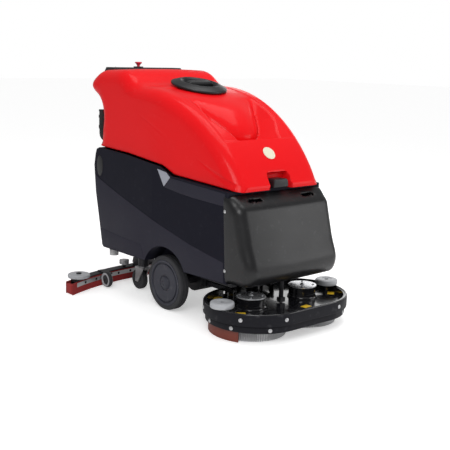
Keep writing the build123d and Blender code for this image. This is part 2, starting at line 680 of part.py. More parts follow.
# ---------------------------------------------------------------- chassis
def chassis():
    """Plate and rails under the body, with the towers, cheeks and pins that carry the moving parts."""
    plate_low = PLATE_TOP - PLATE_THICKNESS
    frame = block(-PLATE_HALF_WIDTH, PLATE_HALF_WIDTH, PLATE_FRONT, PLATE_REAR, plate_low, PLATE_TOP)
    for side in SIDES:
        frame = frame + mirrored_block(side, RAIL_X - RAIL_WIDTH / 2, RAIL_X + RAIL_WIDTH / 2, RAIL_FRONT,
                                       PLATE_REAR, plate_low - RAIL_HEIGHT, plate_low + 1)
        tower = post(side * CASTER_X, CASTER_Y, 2 * CASTER_RADIUS + 22, plate_low, CASTER_TOWER_RADIUS)
        frame = frame + tower - post(side * CASTER_X, CASTER_Y, 60, 190, CASTER_STEM_RADIUS + RUNNING_GAP)
        cheek_x = ARM_X + ARM_WIDTH / 2 + SIDE_GAP
        frame = frame + mirrored_block(side, cheek_x, cheek_x + CHEEK, ARM_PIVOT_Y - 14, ARM_PIVOT_Y + 14,
                                       LOWER_PIVOT_Z - 14, plate_low)
        frame = frame + cross_bar(side * (cheek_x + 1), side * (ARM_X - ARM_WIDTH / 2 - 3), ARM_PIVOT_Y,
                                  LOWER_PIVOT_Z, LINK_PIN_RADIUS)
        link_cheek = ARM_WIDTH + SIDE_GAP
        frame = frame + mirrored_block(side, link_cheek, link_cheek + CHEEK, ARM_PIVOT_Y - 14,
                                       ARM_PIVOT_Y + 14, UPPER_PIVOT_Z - 14, plate_low)
    frame = frame + cross_bar(-ARM_WIDTH - CHEEK, ARM_WIDTH + CHEEK, ARM_PIVOT_Y, UPPER_PIVOT_Z,
                              LINK_PIN_RADIUS)
    swing_pin = post(0, SWING_PIVOT_Y, 132, plate_low + 1, SWING_PIN_RADIUS)
    washer = post(0, SWING_PIVOT_Y, 126, 133, SWING_PIN_RADIUS + 8)
    return frame + swing_pin + washer


def transaxle():
    """Gearbox and motor across the machine, with a tube for each axle shaft."""
    box = cross_bar(-100, 100, 0, WHEEL_RADIUS, 62)
    motor = Pos(0, 90, WHEEL_RADIUS + 10) * Rot(90, 0, 0) * Cylinder(46, 140)
    seat = block(-80, 80, -40, 120, WHEEL_RADIUS, PLATE_TOP - PLATE_THICKNESS)
    unit = box + motor + seat
    for side in SIDES:
        unit = unit + cross_bar(side * 98, side * (WHEEL_INNER_X - 6), 0, WHEEL_RADIUS, AXLE_TUBE_RADIUS)
        unit = unit - cross_bar(side * 128, side * WHEEL_INNER_X, 0, WHEEL_RADIUS, AXLE_RADIUS + RUNNING_GAP)
    return unit


def axle_brackets():
    """Bright side plates that hang the axle tubes from the rails."""
    plates = []
    top = PLATE_TOP - PLATE_THICKNESS - 1
    outline = [(-70, top), (176, top), (160, 168), (44, 92), (-34, 92)]
    for side in SIDES:
        low, high = sorted((side * (RAIL_X + RAIL_WIDTH / 2), side * (RAIL_X + RAIL_WIDTH / 2 + 6)))
        plate = side_prism(outline, low, high)
        plates.append(plate - cross_bar(side * 180, side * 260, 0, WHEEL_RADIUS, AXLE_TUBE_RADIUS))
    return plates


def drive_wheel(side):
    """Disc wheel with its axle shaft, and the tyre pressed on the rim."""
    rim = WHEEL_RADIUS - TYRE_THICKNESS
    inner, outer = side * WHEEL_INNER_X, side * WHEEL_OUTER_X
    disc = cross_bar(inner + side * 4, outer - side * 4, 0, WHEEL_RADIUS, rim)
    ring = cross_bar(outer - side * 12, outer, 0, WHEEL_RADIUS, rim - 14)
    groove = ring - cross_bar(outer - side * 14, outer + side * 2, 0, WHEEL_RADIUS, rim - 24)
    hub_cap = cross_bar(outer - side * 5, outer + side * 2, 0, WHEEL_RADIUS, 24)
    shaft = cross_bar(side * 130, inner + side * 6, 0, WHEEL_RADIUS, AXLE_RADIUS)
    tyre = cross_bar(inner, outer, 0, WHEEL_RADIUS, WHEEL_RADIUS)
    return disc - groove + hub_cap + shaft, tyre - cross_bar(inner * 0.9, outer * 1.1, 0, WHEEL_RADIUS, rim)


def caster(side):
    """Swivelling fork with a trailing wheel."""
    x, wheel_y = side * CASTER_X, CASTER_Y + CASTER_TRAIL
    crown_low = 2 * CASTER_RADIUS + 8
    crown = block(x - 25, x + 25, CASTER_Y - 25, wheel_y + 8, crown_low, crown_low + 8)
    fork = crown + post(x, CASTER_Y, crown_low + 7, crown_low + 60, CASTER_STEM_RADIUS)
    fork = fork + post(x, CASTER_Y, crown_low + 7, crown_low + 13.0, CASTER_STEM_RADIUS + 8)
    for leg in SIDES:
        inner = CASTER_WIDTH / 2 + SIDE_GAP + 1
        low, high = sorted((x + leg * inner, x + leg * (inner + FORK_PLATE)))
        outline = [(CASTER_Y - 22, crown_low + 1), (wheel_y + 8, crown_low + 1),
                   (wheel_y + 12, CASTER_RADIUS - 10), (wheel_y - 12, CASTER_RADIUS - 10)]
        fork = fork + side_prism(outline, low, high)
    fork = fork + cross_bar(x - 22, x + 22, wheel_y, CASTER_RADIUS, CASTER_AXLE_RADIUS)
    wheel = cross_bar(x - CASTER_WIDTH / 2, x + CASTER_WIDTH / 2, wheel_y, CASTER_RADIUS, CASTER_RADIUS)
    return fork, wheel - cross_bar(x - 30, x + 30, wheel_y, CASTER_RADIUS, CASTER_AXLE_RADIUS + RUNNING_GAP)


# ---------------------------------------------------------------- brush deck
def deck_linkage():
    """Two lower arms joined by a tube, and the upper link that keeps the deck level."""
    deck_y = ARM_PIVOT_Y - ARM_LENGTH
    arms = cross_bar(-ARM_X, ARM_X, ARM_PIVOT_Y - ARM_LENGTH / 2, LOWER_PIVOT_Z, 9)
    for side in SIDES:
        x = side * ARM_X
        arms = arms + link_bar(x, LOWER_PIVOT_Z, deck_y)
    save("deck_arms", drill_link(arms, LOWER_PIVOT_Z, ARM_X + 30, deck_y))
    link = link_bar(0, UPPER_PIVOT_Z, deck_y)
    save("deck_upper_link", drill_link(link, UPPER_PIVOT_Z, 30, deck_y))


def link_bar(x, z, deck_y):
    """A flat bar with round ends between the chassis pivot and the deck pivot."""
    half = ARM_WIDTH / 2
    bar = block(x - half, x + half, deck_y, ARM_PIVOT_Y, z - ARM_DEPTH / 2 + 1, z + ARM_DEPTH / 2 - 1)
    for y in (deck_y, ARM_PIVOT_Y):
        bar = bar + cross_bar(x - half, x + half, y, z, ARM_DEPTH / 2)
    return bar


def drill_link(link, z, reach, deck_y):
    """Bores both pivots of a link."""
    for y in (deck_y, ARM_PIVOT_Y):
        link = link - cross_bar(-reach, reach, y, z, LINK_PIN_RADIUS + RUNNING_GAP)
    return link


def deck_plate():
    """Pan with a raised rim, link cheeks and roller bosses; holes let the brush shafts through."""
    deck_y = ARM_PIVOT_Y - ARM_LENGTH
    pan = lobed(SKIRT_RADIUS, DECK_TOP - DECK_SHEET, DECK_TOP)
    pan = pan + lobed_ring(SKIRT_RADIUS, SKIRT_RADIUS - SKIRT_STEP, DECK_TOP - DECK_SHEET, DECK_RIM_TOP)
    pan = pan + lobed_ring(SKIRT_RADIUS - SKIRT_STEP, SKIRT_RADIUS - 2 * SKIRT_STEP, SKIRT_BOTTOM, DECK_TOP)
    for side in SIDES:
        cheek_x = ARM_X + ARM_WIDTH / 2 + SIDE_GAP
        pan = pan + mirrored_block(side, cheek_x, cheek_x + CHEEK, deck_y - 14, deck_y + 14, DECK_TOP - 1,
                                   LOWER_PIVOT_Z + 12)
        pan = pan + cross_bar(side * (cheek_x + 1), side * (ARM_X - ARM_WIDTH / 2 - 3), deck_y,
                              LOWER_PIVOT_Z, LINK_PIN_RADIUS)
        link_cheek = ARM_WIDTH + SIDE_GAP
        pan = pan + mirrored_block(side, link_cheek, link_cheek + CHEEK, deck_y - 14, deck_y + 14,
                                   DECK_TOP - 1, UPPER_PIVOT_Z + 9)
        pan = pan + post(side * ROLLER_X, ROLLER_Y, DECK_TOP - 1, ROLLER_BOTTOM - SIDE_GAP, 15)
        pan = pan - post(side * BRUSH_X, BRUSH_Y, DECK_TOP - 20, DECK_TOP + 1, BRUSH_SHAFT_RADIUS + 3)
        pan = pan - mirrored_block(side, ARM_X - ARM_WIDTH / 2 - 4, ARM_X + ARM_WIDTH / 2 + 4, deck_y - 16,
                                   LOBE_Y + LOBE_RADIUS + 5, DECK_TOP, DECK_RIM_TOP + 1)
    return pan + cross_bar(-ARM_WIDTH - CHEEK, ARM_WIDTH + CHEEK, deck_y, UPPER_PIVOT_Z, LINK_PIN_RADIUS)


def deck_trim():
    """Bumper band, skirt strap, side blades and their screws."""
    band = lobed_ring(LOBE_RADIUS, SKIRT_RADIUS, DECK_RIM_TOP - BAND_HEIGHT, DECK_RIM_TOP)
    for side in SIDES:
        band = band - mirrored_block(side, ARM_X - ARM_WIDTH / 2 - 4, ARM_X + ARM_WIDTH / 2 + 4, -240,
                                     LOBE_Y + LOBE_RADIUS + 5, DECK_TOP, DECK_RIM_TOP + 1)
    save("bumper_band", band)
    inner = SKIRT_RADIUS - SKIRT_STEP
    strap = lobed_ring(inner + STRAP_THICKNESS, inner, SKIRT_BOTTOM + 2, DECK_RIM_TOP - BAND_HEIGHT - 2)
    save("skirt_strap", strap)
    blade_outer = inner - SKIRT_STEP
    ring = lobed_ring(blade_outer, blade_outer - BLADE_THICKNESS, 0, BLADE_TOP)
    blades = []
    for side in SIDES:
        wedge = [(0, 0), (-150, 400), (-460, 300), (-460, -130), (-400, -200)]
        face = make_face(Polyline(*[(-side * x, y) for x, y in wedge], close=True))
        blades.append(ring & (Pos(side * LOBE_X, LOBE_Y, -5) * extrude(face, amount=100, dir=(0, 0, 1))))
    save("side_blades", *blades)
    screws = []
    for side in SIDES:
        centre = Pos(side * LOBE_X, LOBE_Y, 0)
        for turn in (150, 211, 260):
            screws.append(centre * deck_screw(side, turn, LOBE_RADIUS, DECK_RIM_TOP - 23))
        for turn in (165, 199.5, 242.5):
            screws.append(centre * deck_screw(side, turn, inner + STRAP_THICKNESS, 61))
        pin = post(side * ROLLER_X, ROLLER_Y, ROLLER_BOTTOM - SIDE_GAP,
                   ROLLER_BOTTOM + ROLLER_THICKNESS + SIDE_GAP, ROLLER_PIN_RADIUS)
        head = post(side * ROLLER_X, ROLLER_Y, ROLLER_BOTTOM + ROLLER_THICKNESS + SIDE_GAP,
                    ROLLER_BOTTOM + ROLLER_THICKNESS + 6, 13)
        screws.append(pin + head)
    save("deck_screws", *screws)


def deck_screw(side, turn, radius, z):
    """A screw head that stands on a wall of the deck, at an angle about a lobe's centre."""
    angle = turn if side < 0 else 180 - turn
    head = Pos(radius + 2, 0, z) * Rot(0, 90, 0) * Cylinder(7.5, 6)
    return Rot(0, 0, angle) * head - Pos(0, 0, z) * Cylinder(radius, 30)


def brush_motor(side):
    """Flat gear motor with a blind bore for the brush shaft."""
    x = side * BRUSH_X
    can = post(x, BRUSH_Y, DECK_TOP, MOTOR_TOP, MOTOR_RADIUS)
    cap = post(x, BRUSH_Y, MOTOR_TOP - 1, MOTOR_TOP + 4, MOTOR_RADIUS - 10)
    bolt = post(x, BRUSH_Y, MOTOR_TOP + 3, MOTOR_TOP + 10, 8)
    return can + cap + bolt - post(x, BRUSH_Y, DECK_TOP - 1, DECK_TOP + 24, BRUSH_SHAFT_RADIUS + RUNNING_GAP)


def brush(side):
    """Drive disc with its shaft, and the ring of bristles under it."""
    x = side * BRUSH_X
    disc = post(x, BRUSH_Y, BRUSH_DISC_BOTTOM, BRUSH_DISC_TOP, BRUSH_DISC_RADIUS)
    disc = disc + post(x, BRUSH_Y, BRUSH_DISC_TOP - 1, BRUSH_DISC_TOP + 10, 30)
    disc = disc + post(x, BRUSH_Y, BRUSH_DISC_TOP, DECK_TOP + 22, BRUSH_SHAFT_RADIUS)
    spread = Pos(x, BRUSH_Y, BRUSH_DISC_BOTTOM / 2) * Cone(BRUSH_RADIUS, BRUSH_DISC_RADIUS,
                                                           BRUSH_DISC_BOTTOM)
    return disc, spread - post(x, BRUSH_Y, -1, BRUSH_DISC_BOTTOM + 1, 48)


def deck_roller(side):
    """Bumper roller on the corner of the deck."""
    x = side * ROLLER_X
    roller = post(x, ROLLER_Y, ROLLER_BOTTOM, ROLLER_BOTTOM + ROLLER_THICKNESS, ROLLER_RADIUS)
    bore = post(x, ROLLER_Y, ROLLER_BOTTOM - 1, ROLLER_BOTTOM + ROLLER_THICKNESS + 1,
                ROLLER_PIN_RADIUS + RUNNING_GAP)
    return roller - bore


def lift_actuator():
    """Upright actuator on the tank's front wall, and its rod that ends just above the deck."""
    x, y = ACTUATOR_X, ACTUATOR_Y
    body = post(x, y, ACTUATOR_BOTTOM, GEARBOX_BOTTOM, ACTUATOR_RADIUS)
    foot = block(x - 22, x + 22, y, BODY_FRONT, 300, 400)
    gearbox = block(x - 34, x + 34, y - 30, y + 30, GEARBOX_BOTTOM, GEARBOX_TOP)
    bore = post(x, y, ACTUATOR_BOTTOM - 10, ROD_TOP + ROD_TRAVEL + 4, ROD_RADIUS + RUNNING_GAP)
    save("lift_actuator", body + foot + gearbox - bore)
    rod = post(x, y, DECK_TOP + 18, ROD_TOP, ROD_RADIUS)
    save("lift_rod", rod + block(x - 14, x + 14, y - 12, y + 12, DECK_TOP + 4, DECK_TOP + 24))


def vacuum_motor():
    """Suction motor on the tank's front wall, behind the front cover."""
    x, y = 118.0, -484.0
    can = post(x, y, 250, 380, 50) + post(x, y, 290, 345, 53)
    return can + block(x - 36, x + 36, y, BODY_FRONT, 270, 370)


def batteries():
    """Four blocks in the bay."""
    width, depth, height = BATTERY_SIZE
    blocks = []
    for side in SIDES:
        for row in SIDES:
            x = side * (width + BATTERY_GAP) / 2
            y = BATTERY_Y + row * (depth + BATTERY_GAP) / 2
            case = block(x - width / 2, x + width / 2, y - depth / 2, y + depth / 2, BAY_FLOOR,
                         BAY_FLOOR + height)
            for end in SIDES:
                case = case + post(x + end * (width / 2 - 30), y, BAY_FLOOR + height - 1,
                                   BAY_FLOOR + height + 16, 9)
            blocks.append(case)
    return blocks


def solution_fittings():
    """Filter bowl under the rear corner and the valve beside the rail."""
    x, y = -250.0, 440.0
    bowl = post(x, y, BODY_BOTTOM - 42, BODY_BOTTOM - 14, 22) + post(x, y, BODY_BOTTOM - 15, BODY_BOTTOM, 13)
    valve = block(-80, -30, -250, -205, PLATE_TOP - PLATE_THICKNESS - 26, PLATE_TOP - PLATE_THICKNESS)
    return bowl, valve


# ---------------------------------------------------------------- squeegee
def squeegee_arms():
    """Swing arm on the chassis pin, and the lift arms that carry the squeegee."""
    reach = LIFT_ARM_X + 10
    swing = post(0, SWING_PIVOT_Y, 135, 195, 22) + block(-14, 14, SWING_PIVOT_Y, LIFT_PIVOT_Y, 138, 162)
    swing = swing + cross_bar(-reach, reach, LIFT_PIVOT_Y, LIFT_PIVOT_Z, 8)
    swing = swing + cross_bar(-LIFT_ARM_X + 10, LIFT_ARM_X - 10, LIFT_PIVOT_Y, LIFT_PIVOT_Z, 14)
    save("squeegee_swing_arm",
         swing - post(0, SWING_PIVOT_Y, 100, 220, SWING_PIN_RADIUS + RUNNING_GAP))
    rear = SQUEEGEE_APEX_Y - 10
    outline = [(LIFT_PIVOT_Y - 14, LIFT_PIVOT_Z - 12), (LIFT_PIVOT_Y - 14, LIFT_PIVOT_Z + 12),
               (LIFT_PIVOT_Y + 12, LIFT_PIVOT_Z + 12), (rear, 104), (rear, SQUEEGEE_TOP + 3),
               (rear - 42, SQUEEGEE_TOP + 3), (470, 96)]
    arms = block(-LIFT_ARM_X - 6, LIFT_ARM_X + 6, rear - 44, rear, SQUEEGEE_TOP, SQUEEGEE_TOP + 8)
    for side in SIDES:
        arms = arms + side_prism(outline, *sorted((side * (LIFT_ARM_X - 4), side * (LIFT_ARM_X + 4))))
    bore = cross_bar(-100, 100, LIFT_PIVOT_Y, LIFT_PIVOT_Z, 8 + RUNNING_GAP)
    save("squeegee_lift_arms", arms - bore)


def squeegee():
    """Channel, two lips, clamp strips, rollers, support wheels, knobs and suction pipe."""
    inner = SQUEEGEE_ARC - SQUEEGEE_DEPTH / 2
    outer = SQUEEGEE_ARC + SQUEEGEE_DEPTH / 2
    half = SQUEEGEE_BODY_HALF_WIDTH
    channel = squeegee_band(inner, outer, SQUEEGEE_TOP - SQUEEGEE_SHEET, SQUEEGEE_TOP, half)
    for low, high in ((inner, inner + SQUEEGEE_FLANGE), (outer - SQUEEGEE_FLANGE, outer)):
        channel = channel + squeegee_band(low, high, SQUEEGEE_SKIRT, SQUEEGEE_TOP, half)
    mouth = post(0, SQUEEGEE_APEX_Y, SQUEEGEE_SKIRT, SQUEEGEE_TOP + 1, SUCTION_RADIUS - 6)
    channel = channel - (mouth & block(-60, 60, SQUEEGEE_APEX_Y - 16, SQUEEGEE_APEX_Y + 16, 0, 100))
    save("squeegee_channel", channel)
    tips = SQUEEGEE_HALF_WIDTH
    front_lip = squeegee_band(inner - LIP_THICKNESS, inner, 0, LIP_TOP, tips)
    rear_lip = squeegee_band(outer, outer + LIP_THICKNESS, 0, LIP_TOP, tips)
    save("squeegee_lips", front_lip, rear_lip)
    clamp_low, clamp_high = LIP_TOP - 24, LIP_TOP - 4
    front = inner - LIP_THICKNESS
    rear = outer + LIP_THICKNESS
    save("squeegee_clamps",
         squeegee_band(front - CLAMP_THICKNESS, front, clamp_low, clamp_high, half),
         squeegee_band(rear, rear + CLAMP_THICKNESS, clamp_low, clamp_high, half))
    for side, word in ((1, "left"), (-1, "right")):
        save(f"end_roller_{word}", end_roller(side))
        save(f"support_wheel_{word}", support_wheel(side))
    fittings = [make(side) for side in SIDES for make in (support_bracket, squeegee_knob, end_roller_pin)]
    save("squeegee_fittings", *fittings)
    save("suction_pipe", suction_pipe())


def end_roller(side):
    """Bumper roller lying flat on the tip of the squeegee."""
    x, y = side * END_ROLLER_X, squeegee_y(END_ROLLER_X)
    low = SQUEEGEE_TOP + 4
    return post(x, y, low, END_ROLLER_TOP, END_ROLLER_RADIUS) - post(x, y, low - 1, END_ROLLER_TOP + 1,
                                                                    8 + RUNNING_GAP)


def end_roller_pin(side):
    """Pin, washer and head of one end roller."""
    x, y = side * END_ROLLER_X, squeegee_y(END_ROLLER_X)
    pin = post(x, y, SQUEEGEE_TOP, END_ROLLER_TOP + SIDE_GAP, 8)
    return pin + post(x, y, SQUEEGEE_TOP, SQUEEGEE_TOP + 3, 16) + post(x, y, END_ROLLER_TOP + SIDE_GAP,
                                                                      END_ROLLER_TOP + 5, 13)


def support_wheel(side):
    """Small wheel that carries the squeegee in front of its lips."""
    x = side * SUPPORT_X
    half = SUPPORT_WIDTH / 2
    wheel = cross_bar(x - half, x + half, SUPPORT_Y, SUPPORT_RADIUS, SUPPORT_RADIUS)
    return wheel - cross_bar(x - 40, x + 40, SUPPORT_Y, SUPPORT_RADIUS, SUPPORT_AXLE_RADIUS + RUNNING_GAP)


def support_bracket(side):
    """Arm over the front lip, with a cheek and pin for the support wheel."""
    x = side * SUPPORT_X
    cheek = side * (SUPPORT_X - SUPPORT_WIDTH / 2 - SIDE_GAP)
    rear = squeegee_y(SUPPORT_X) + 16
    arm = block(x - 34, x - 2, SUPPORT_Y + 4, rear, SQUEEGEE_TOP, SQUEEGEE_TOP + 6)
    if side < 0:
        arm = block(x + 2, x + 34, SUPPORT_Y + 4, rear, SQUEEGEE_TOP, SQUEEGEE_TOP + 6)
    low, high = sorted((cheek, cheek - side * 6))
    front_edge = SUPPORT_Y - 12
    plate = block(low, high, front_edge, SUPPORT_Y + 26, SUPPORT_RADIUS - 12, SQUEEGEE_TOP + 6)
    pin = cross_bar(cheek - side * 2, side * (SUPPORT_X + SUPPORT_WIDTH / 2 + 3), SUPPORT_Y, SUPPORT_RADIUS,
                    SUPPORT_AXLE_RADIUS)
    arm = arm - cross_bar(x - SUPPORT_WIDTH / 2 - SIDE_GAP, x + SUPPORT_WIDTH / 2 + SIDE_GAP, SUPPORT_Y,
                          SUPPORT_RADIUS, SUPPORT_RADIUS + 3)
    return arm + plate + pin


def squeegee_knob(side):
    """Three-lobed knob and stud that hold the squeegee to its arms."""
    x, y = side * 96.0, squeegee_y(96.0)
    knob = post(x, y, SQUEEGEE_TOP, SQUEEGEE_TOP + 20, 9)
    knob = knob + post(x, y, SQUEEGEE_TOP + 12, SQUEEGEE_TOP + 34, 15)
    for turn in (0, 120, 240):
        shift_x, shift_y = 14 * cos(radians(turn)), 14 * sin(radians(turn))
        knob = knob + post(x + shift_x, y + shift_y, SQUEEGEE_TOP + 14, SQUEEGEE_TOP + 34, 10)
    return knob


def suction_pipe():
    """Grey pipe on the channel's mouth, bent towards the tank."""
    y = SQUEEGEE_APEX_Y
    path = FilletPolyline((0, y + 6, SQUEEGEE_TOP + 8), (0, y + 6, SQUEEGEE_TOP + 66),
                          (0, y - 26, SQUEEGEE_TOP + 96), radius=36)
    start = Plane(origin=path @ 0, z_dir=path % 0)
    pipe = sweep(start * Circle(SUCTION_RADIUS), path=path)
    pipe = pipe - sweep(start * Circle(SUCTION_RADIUS - 3), path=path)
    foot = post(0, y + 6, SQUEEGEE_TOP + 8, SQUEEGEE_TOP + 16, 32)
    bore = post(0, y + 6, SQUEEGEE_TOP - 1, SQUEEGEE_TOP + 20, SUCTION_RADIUS - 3)
    return pipe + (foot - bore)


# ---------------------------------------------------------------- all nodes
def build_all():
    """Builds every node in turn."""
    save("chassis_frame", chassis())
    save("solution_tank", solution_tank())
    save("front_cover", front_cover())
    save("cover_screws", *cover_screws())
    save("batteries", *batteries())
    save("transaxle", transaxle())
    save("axle_brackets", *axle_brackets())
    save("solution_fittings", *solution_fittings())
    save("vacuum_motor", vacuum_motor())
    lift_actuator()
    save("fill_cap", fill_cap())
    tank_hinges()
    save("recovery_tank", recovery_tank())
    save("front_grip", front_grip())
    save("float_cage", float_cage(), float_ball())
    save("tank_lid", tank_lid())
    save("lid_seal", lid_seal())
    control_panel()
    control_keys()
    save("handle_bar", handle_bar(), paddle_ears())
    save("drive_paddle", drive_paddle())
    drain_line()
    for side, word in ((1, "left"), (-1, "right")):
        wheel, tyre = drive_wheel(side)
        save(f"drive_wheel_{word}", wheel)
        save(f"tyre_{word}", tyre)
        fork, wheel = caster(side)
        save(f"caster_fork_{word}", fork)
        save(f"caster_wheel_{word}", wheel)
        disc, bristles = brush(side)
        save(f"brush_{word}", disc, bristles)
        save(f"deck_roller_{word}", deck_roller(side))
    deck_linkage()
    save("deck_plate", deck_plate())
    deck_trim()
    save("brush_motors", *[brush_motor(side) for side in SIDES])
    squeegee_arms()
    squeegee()


def write_all():
    """Writes one STEP file for each node."""
    os.makedirs("parts", exist_ok=True)
    for name, solids in parts.items():
        shape = solids[0] if len(solids) == 1 else Compound(solids)
        export_step(shape, os.path.join("parts", f"{name}.step"))


if __name__ == "__main__":
    build_all()
    write_all()
    print(len(parts), "nodes written")
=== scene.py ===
"""Looks of a walk-behind floor scrubber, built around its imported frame.

Sizes are millimetres. Across is x, with the machine's own left side positive. Along is y, measured
back from the drive axle, so the front is negative. Height is z, from the floor. `finish_piece`
brings a mesh from there to the frame's metres.
"""

from __future__ import annotations

import logging
import math
from dataclasses import dataclass, field
from enum import Enum
from typing import Callable, Iterable, Sequence

import bmesh
import bpy
import numpy as np
from mathutils import Matrix, Vector


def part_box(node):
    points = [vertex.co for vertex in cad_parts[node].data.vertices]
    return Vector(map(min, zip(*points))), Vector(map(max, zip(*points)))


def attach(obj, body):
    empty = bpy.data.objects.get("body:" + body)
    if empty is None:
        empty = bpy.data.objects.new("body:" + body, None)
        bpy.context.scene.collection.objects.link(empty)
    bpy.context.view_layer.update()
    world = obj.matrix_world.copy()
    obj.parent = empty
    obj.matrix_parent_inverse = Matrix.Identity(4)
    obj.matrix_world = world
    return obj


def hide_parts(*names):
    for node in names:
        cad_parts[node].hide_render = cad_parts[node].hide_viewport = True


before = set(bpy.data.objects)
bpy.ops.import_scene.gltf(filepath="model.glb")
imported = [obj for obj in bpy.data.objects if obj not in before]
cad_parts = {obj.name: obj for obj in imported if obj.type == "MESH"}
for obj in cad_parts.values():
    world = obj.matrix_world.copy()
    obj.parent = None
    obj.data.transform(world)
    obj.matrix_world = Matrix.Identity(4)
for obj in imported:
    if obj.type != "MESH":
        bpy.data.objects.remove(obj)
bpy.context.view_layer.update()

AXLE_TO_FRAME = 8.5
MM = 0.001
TO_FRAME = Matrix.Scale(MM, 4) @ Matrix.Translation((0.0, AXLE_TO_FRAME, 0.0))
LOG = logging.getLogger("scrubber")

Point2 = tuple[float, float]
Point3 = tuple[float, float, float]
Colour = tuple[float, float, float]
Mesh = bmesh.types.BMesh
SIDES = ((1, "left"), (-1, "right"))

SCUFF_SCALE, SCUFF_DETAIL = 38.0, 9.0
SCUFF_RANGE = (0.60, 0.74)
TONE_DETAIL = 6.0
GLOSS_SCALE, GLOSS_DETAIL = 9.0, 5.0
GLOSS_RANGE = (0.3, 0.7)
GRAIN_DETAIL = 3.0
BRUSHING = (1.0, 1.0, 12.0)


class Grain(Enum):
    """How a surface is textured close up."""

    ORANGE_PEEL = "noise"
    LEATHER = "voronoi"
    BRUSHED = "stretched"


class Axis(Enum):
    """The direction that a turned piece stands in."""

    X = Matrix.Rotation(math.pi / 2, 4, "Y")
    Y = Matrix.Rotation(-math.pi / 2, 4, "X")
    Z = Matrix.Identity(4)


def tune(node: bpy.types.Node, values: dict[str, float | Sequence[float]]) -> None:
    """Sets a shader node's inputs.

    Args:
        node: the node.
        values: each input's name and value.
    """
    for name, value in values.items():
        node.inputs[name].default_value = value


def fractal(made: bpy.types.Material, place: bpy.types.NodeSocket, scale: float,
            detail: float) -> bpy.types.NodeSocket:
    """A fractal noise on the piece's own coordinates.

    Args:
        made: the material that gets the node.
        place: the coordinates.
        scale: how fine the noise is.
        detail: how many octaves it has.

    Returns:
        The noise's socket.
    """
    noise = made.node_tree.nodes.new("ShaderNodeTexNoise")
    tune(noise, {"Scale": scale, "Detail": detail})
    made.node_tree.links.new(place, noise.inputs["Vector"])
    return noise.outputs["Fac"]


@dataclass(frozen=True)
class Finish:
    """A procedural finish: two tones, a grain, uneven gloss and light scuffs."""

    name: str
    colour: Colour
    shade: Colour
    roughness: float
    metallic: float = 0.0
    coat: float = 0.0
    coat_roughness: float = 0.1
    tone_scale: float = 4.0
    grain: Grain = Grain.ORANGE_PEEL
    grain_scale: float = 500.0
    grain_strength: float = 0.12
    grain_depth: float = 0.0004
    gloss_spread: float = 0.08
    scuff: float = 0.08
    scuff_colour: Colour = (0.35, 0.35, 0.36)
    specular: float = 0.5

    def material(self) -> bpy.types.Material:
        """Makes the finish once and hands the same material back after that.

        Returns:
            The procedural material.
        """
        known = bpy.data.materials.get(self.name)
        if known:
            return known
        made = bpy.data.materials.new(self.name)
        made.use_nodes = True
        nodes, links = made.node_tree.nodes, made.node_tree.links
        shader = nodes["Principled BSDF"]
        tune(shader, {"Metallic": self.metallic, "Specular IOR Level": self.specular,
                      "Coat Weight": self.coat, "Coat Roughness": self.coat_roughness})
        place = nodes.new("ShaderNodeTexCoord").outputs["Object"]
        mixed = nodes.new("ShaderNodeMix")
        mixed.data_type = "RGBA"
        tune(mixed, {"A": (*self.shade, 1.0), "B": (*self.colour, 1.0)})
        links.new(fractal(made, place, self.tone_scale, TONE_DETAIL), mixed.inputs["Factor"])
        mask = nodes.new("ShaderNodeMapRange")
        tune(mask, {"From Min": SCUFF_RANGE[0], "From Max": SCUFF_RANGE[1], "To Max": self.scuff})
        links.new(fractal(made, place, SCUFF_SCALE, SCUFF_DETAIL), mask.inputs["Value"])
        worn = nodes.new("ShaderNodeMix")
        worn.data_type = "RGBA"
        tune(worn, {"B": (*self.scuff_colour, 1.0)})
        links.new(mask.outputs["Result"], worn.inputs["Factor"])
        links.new(mixed.outputs["Result"], worn.inputs["A"])
        links.new(worn.outputs["Result"], shader.inputs["Base Color"])
        gloss = nodes.new("ShaderNodeMapRange")
        tune(gloss, {"From Min": GLOSS_RANGE[0], "From Max": GLOSS_RANGE[1],
                     "To Min": self.roughness - self.gloss_spread / 2,
                     "To Max": self.roughness + self.gloss_spread / 2})
        links.new(fractal(made, place, GLOSS_SCALE, GLOSS_DETAIL), gloss.inputs["Value"])
        links.new(gloss.outputs["Result"], shader.inputs["Roughness"])
        bump = nodes.new("ShaderNodeBump")
        tune(bump, {"Strength": self.grain_strength, "Distance": self.grain_depth})
        links.new(self._grain(made, place), bump.inputs["Height"])
        links.new(bump.outputs["Normal"], shader.inputs["Normal"])
        return made

    def _grain(self, made: bpy.types.Material, place: bpy.types.NodeSocket) -> bpy.types.NodeSocket:
        """The height that the close-up grain raises.

        Args:
            made: the material that gets the nodes.
            place: the piece's own coordinates.

        Returns:
            The height's socket.
        """
        nodes, links = made.node_tree.nodes, made.node_tree.links
        if self.grain is Grain.LEATHER:
            cells = nodes.new("ShaderNodeTexVoronoi")
            cells.feature = "SMOOTH_F1"
            tune(cells, {"Scale": self.grain_scale})
            links.new(place, cells.inputs["Vector"])
            return cells.outputs["Distance"]
        if self.grain is Grain.BRUSHED:
            stretch = nodes.new("ShaderNodeMapping")
            tune(stretch, {"Scale": BRUSHING})
            links.new(place, stretch.inputs["Vector"])
            place = stretch.outputs["Vector"]
        return fractal(made, place, self.grain_scale, GRAIN_DETAIL)


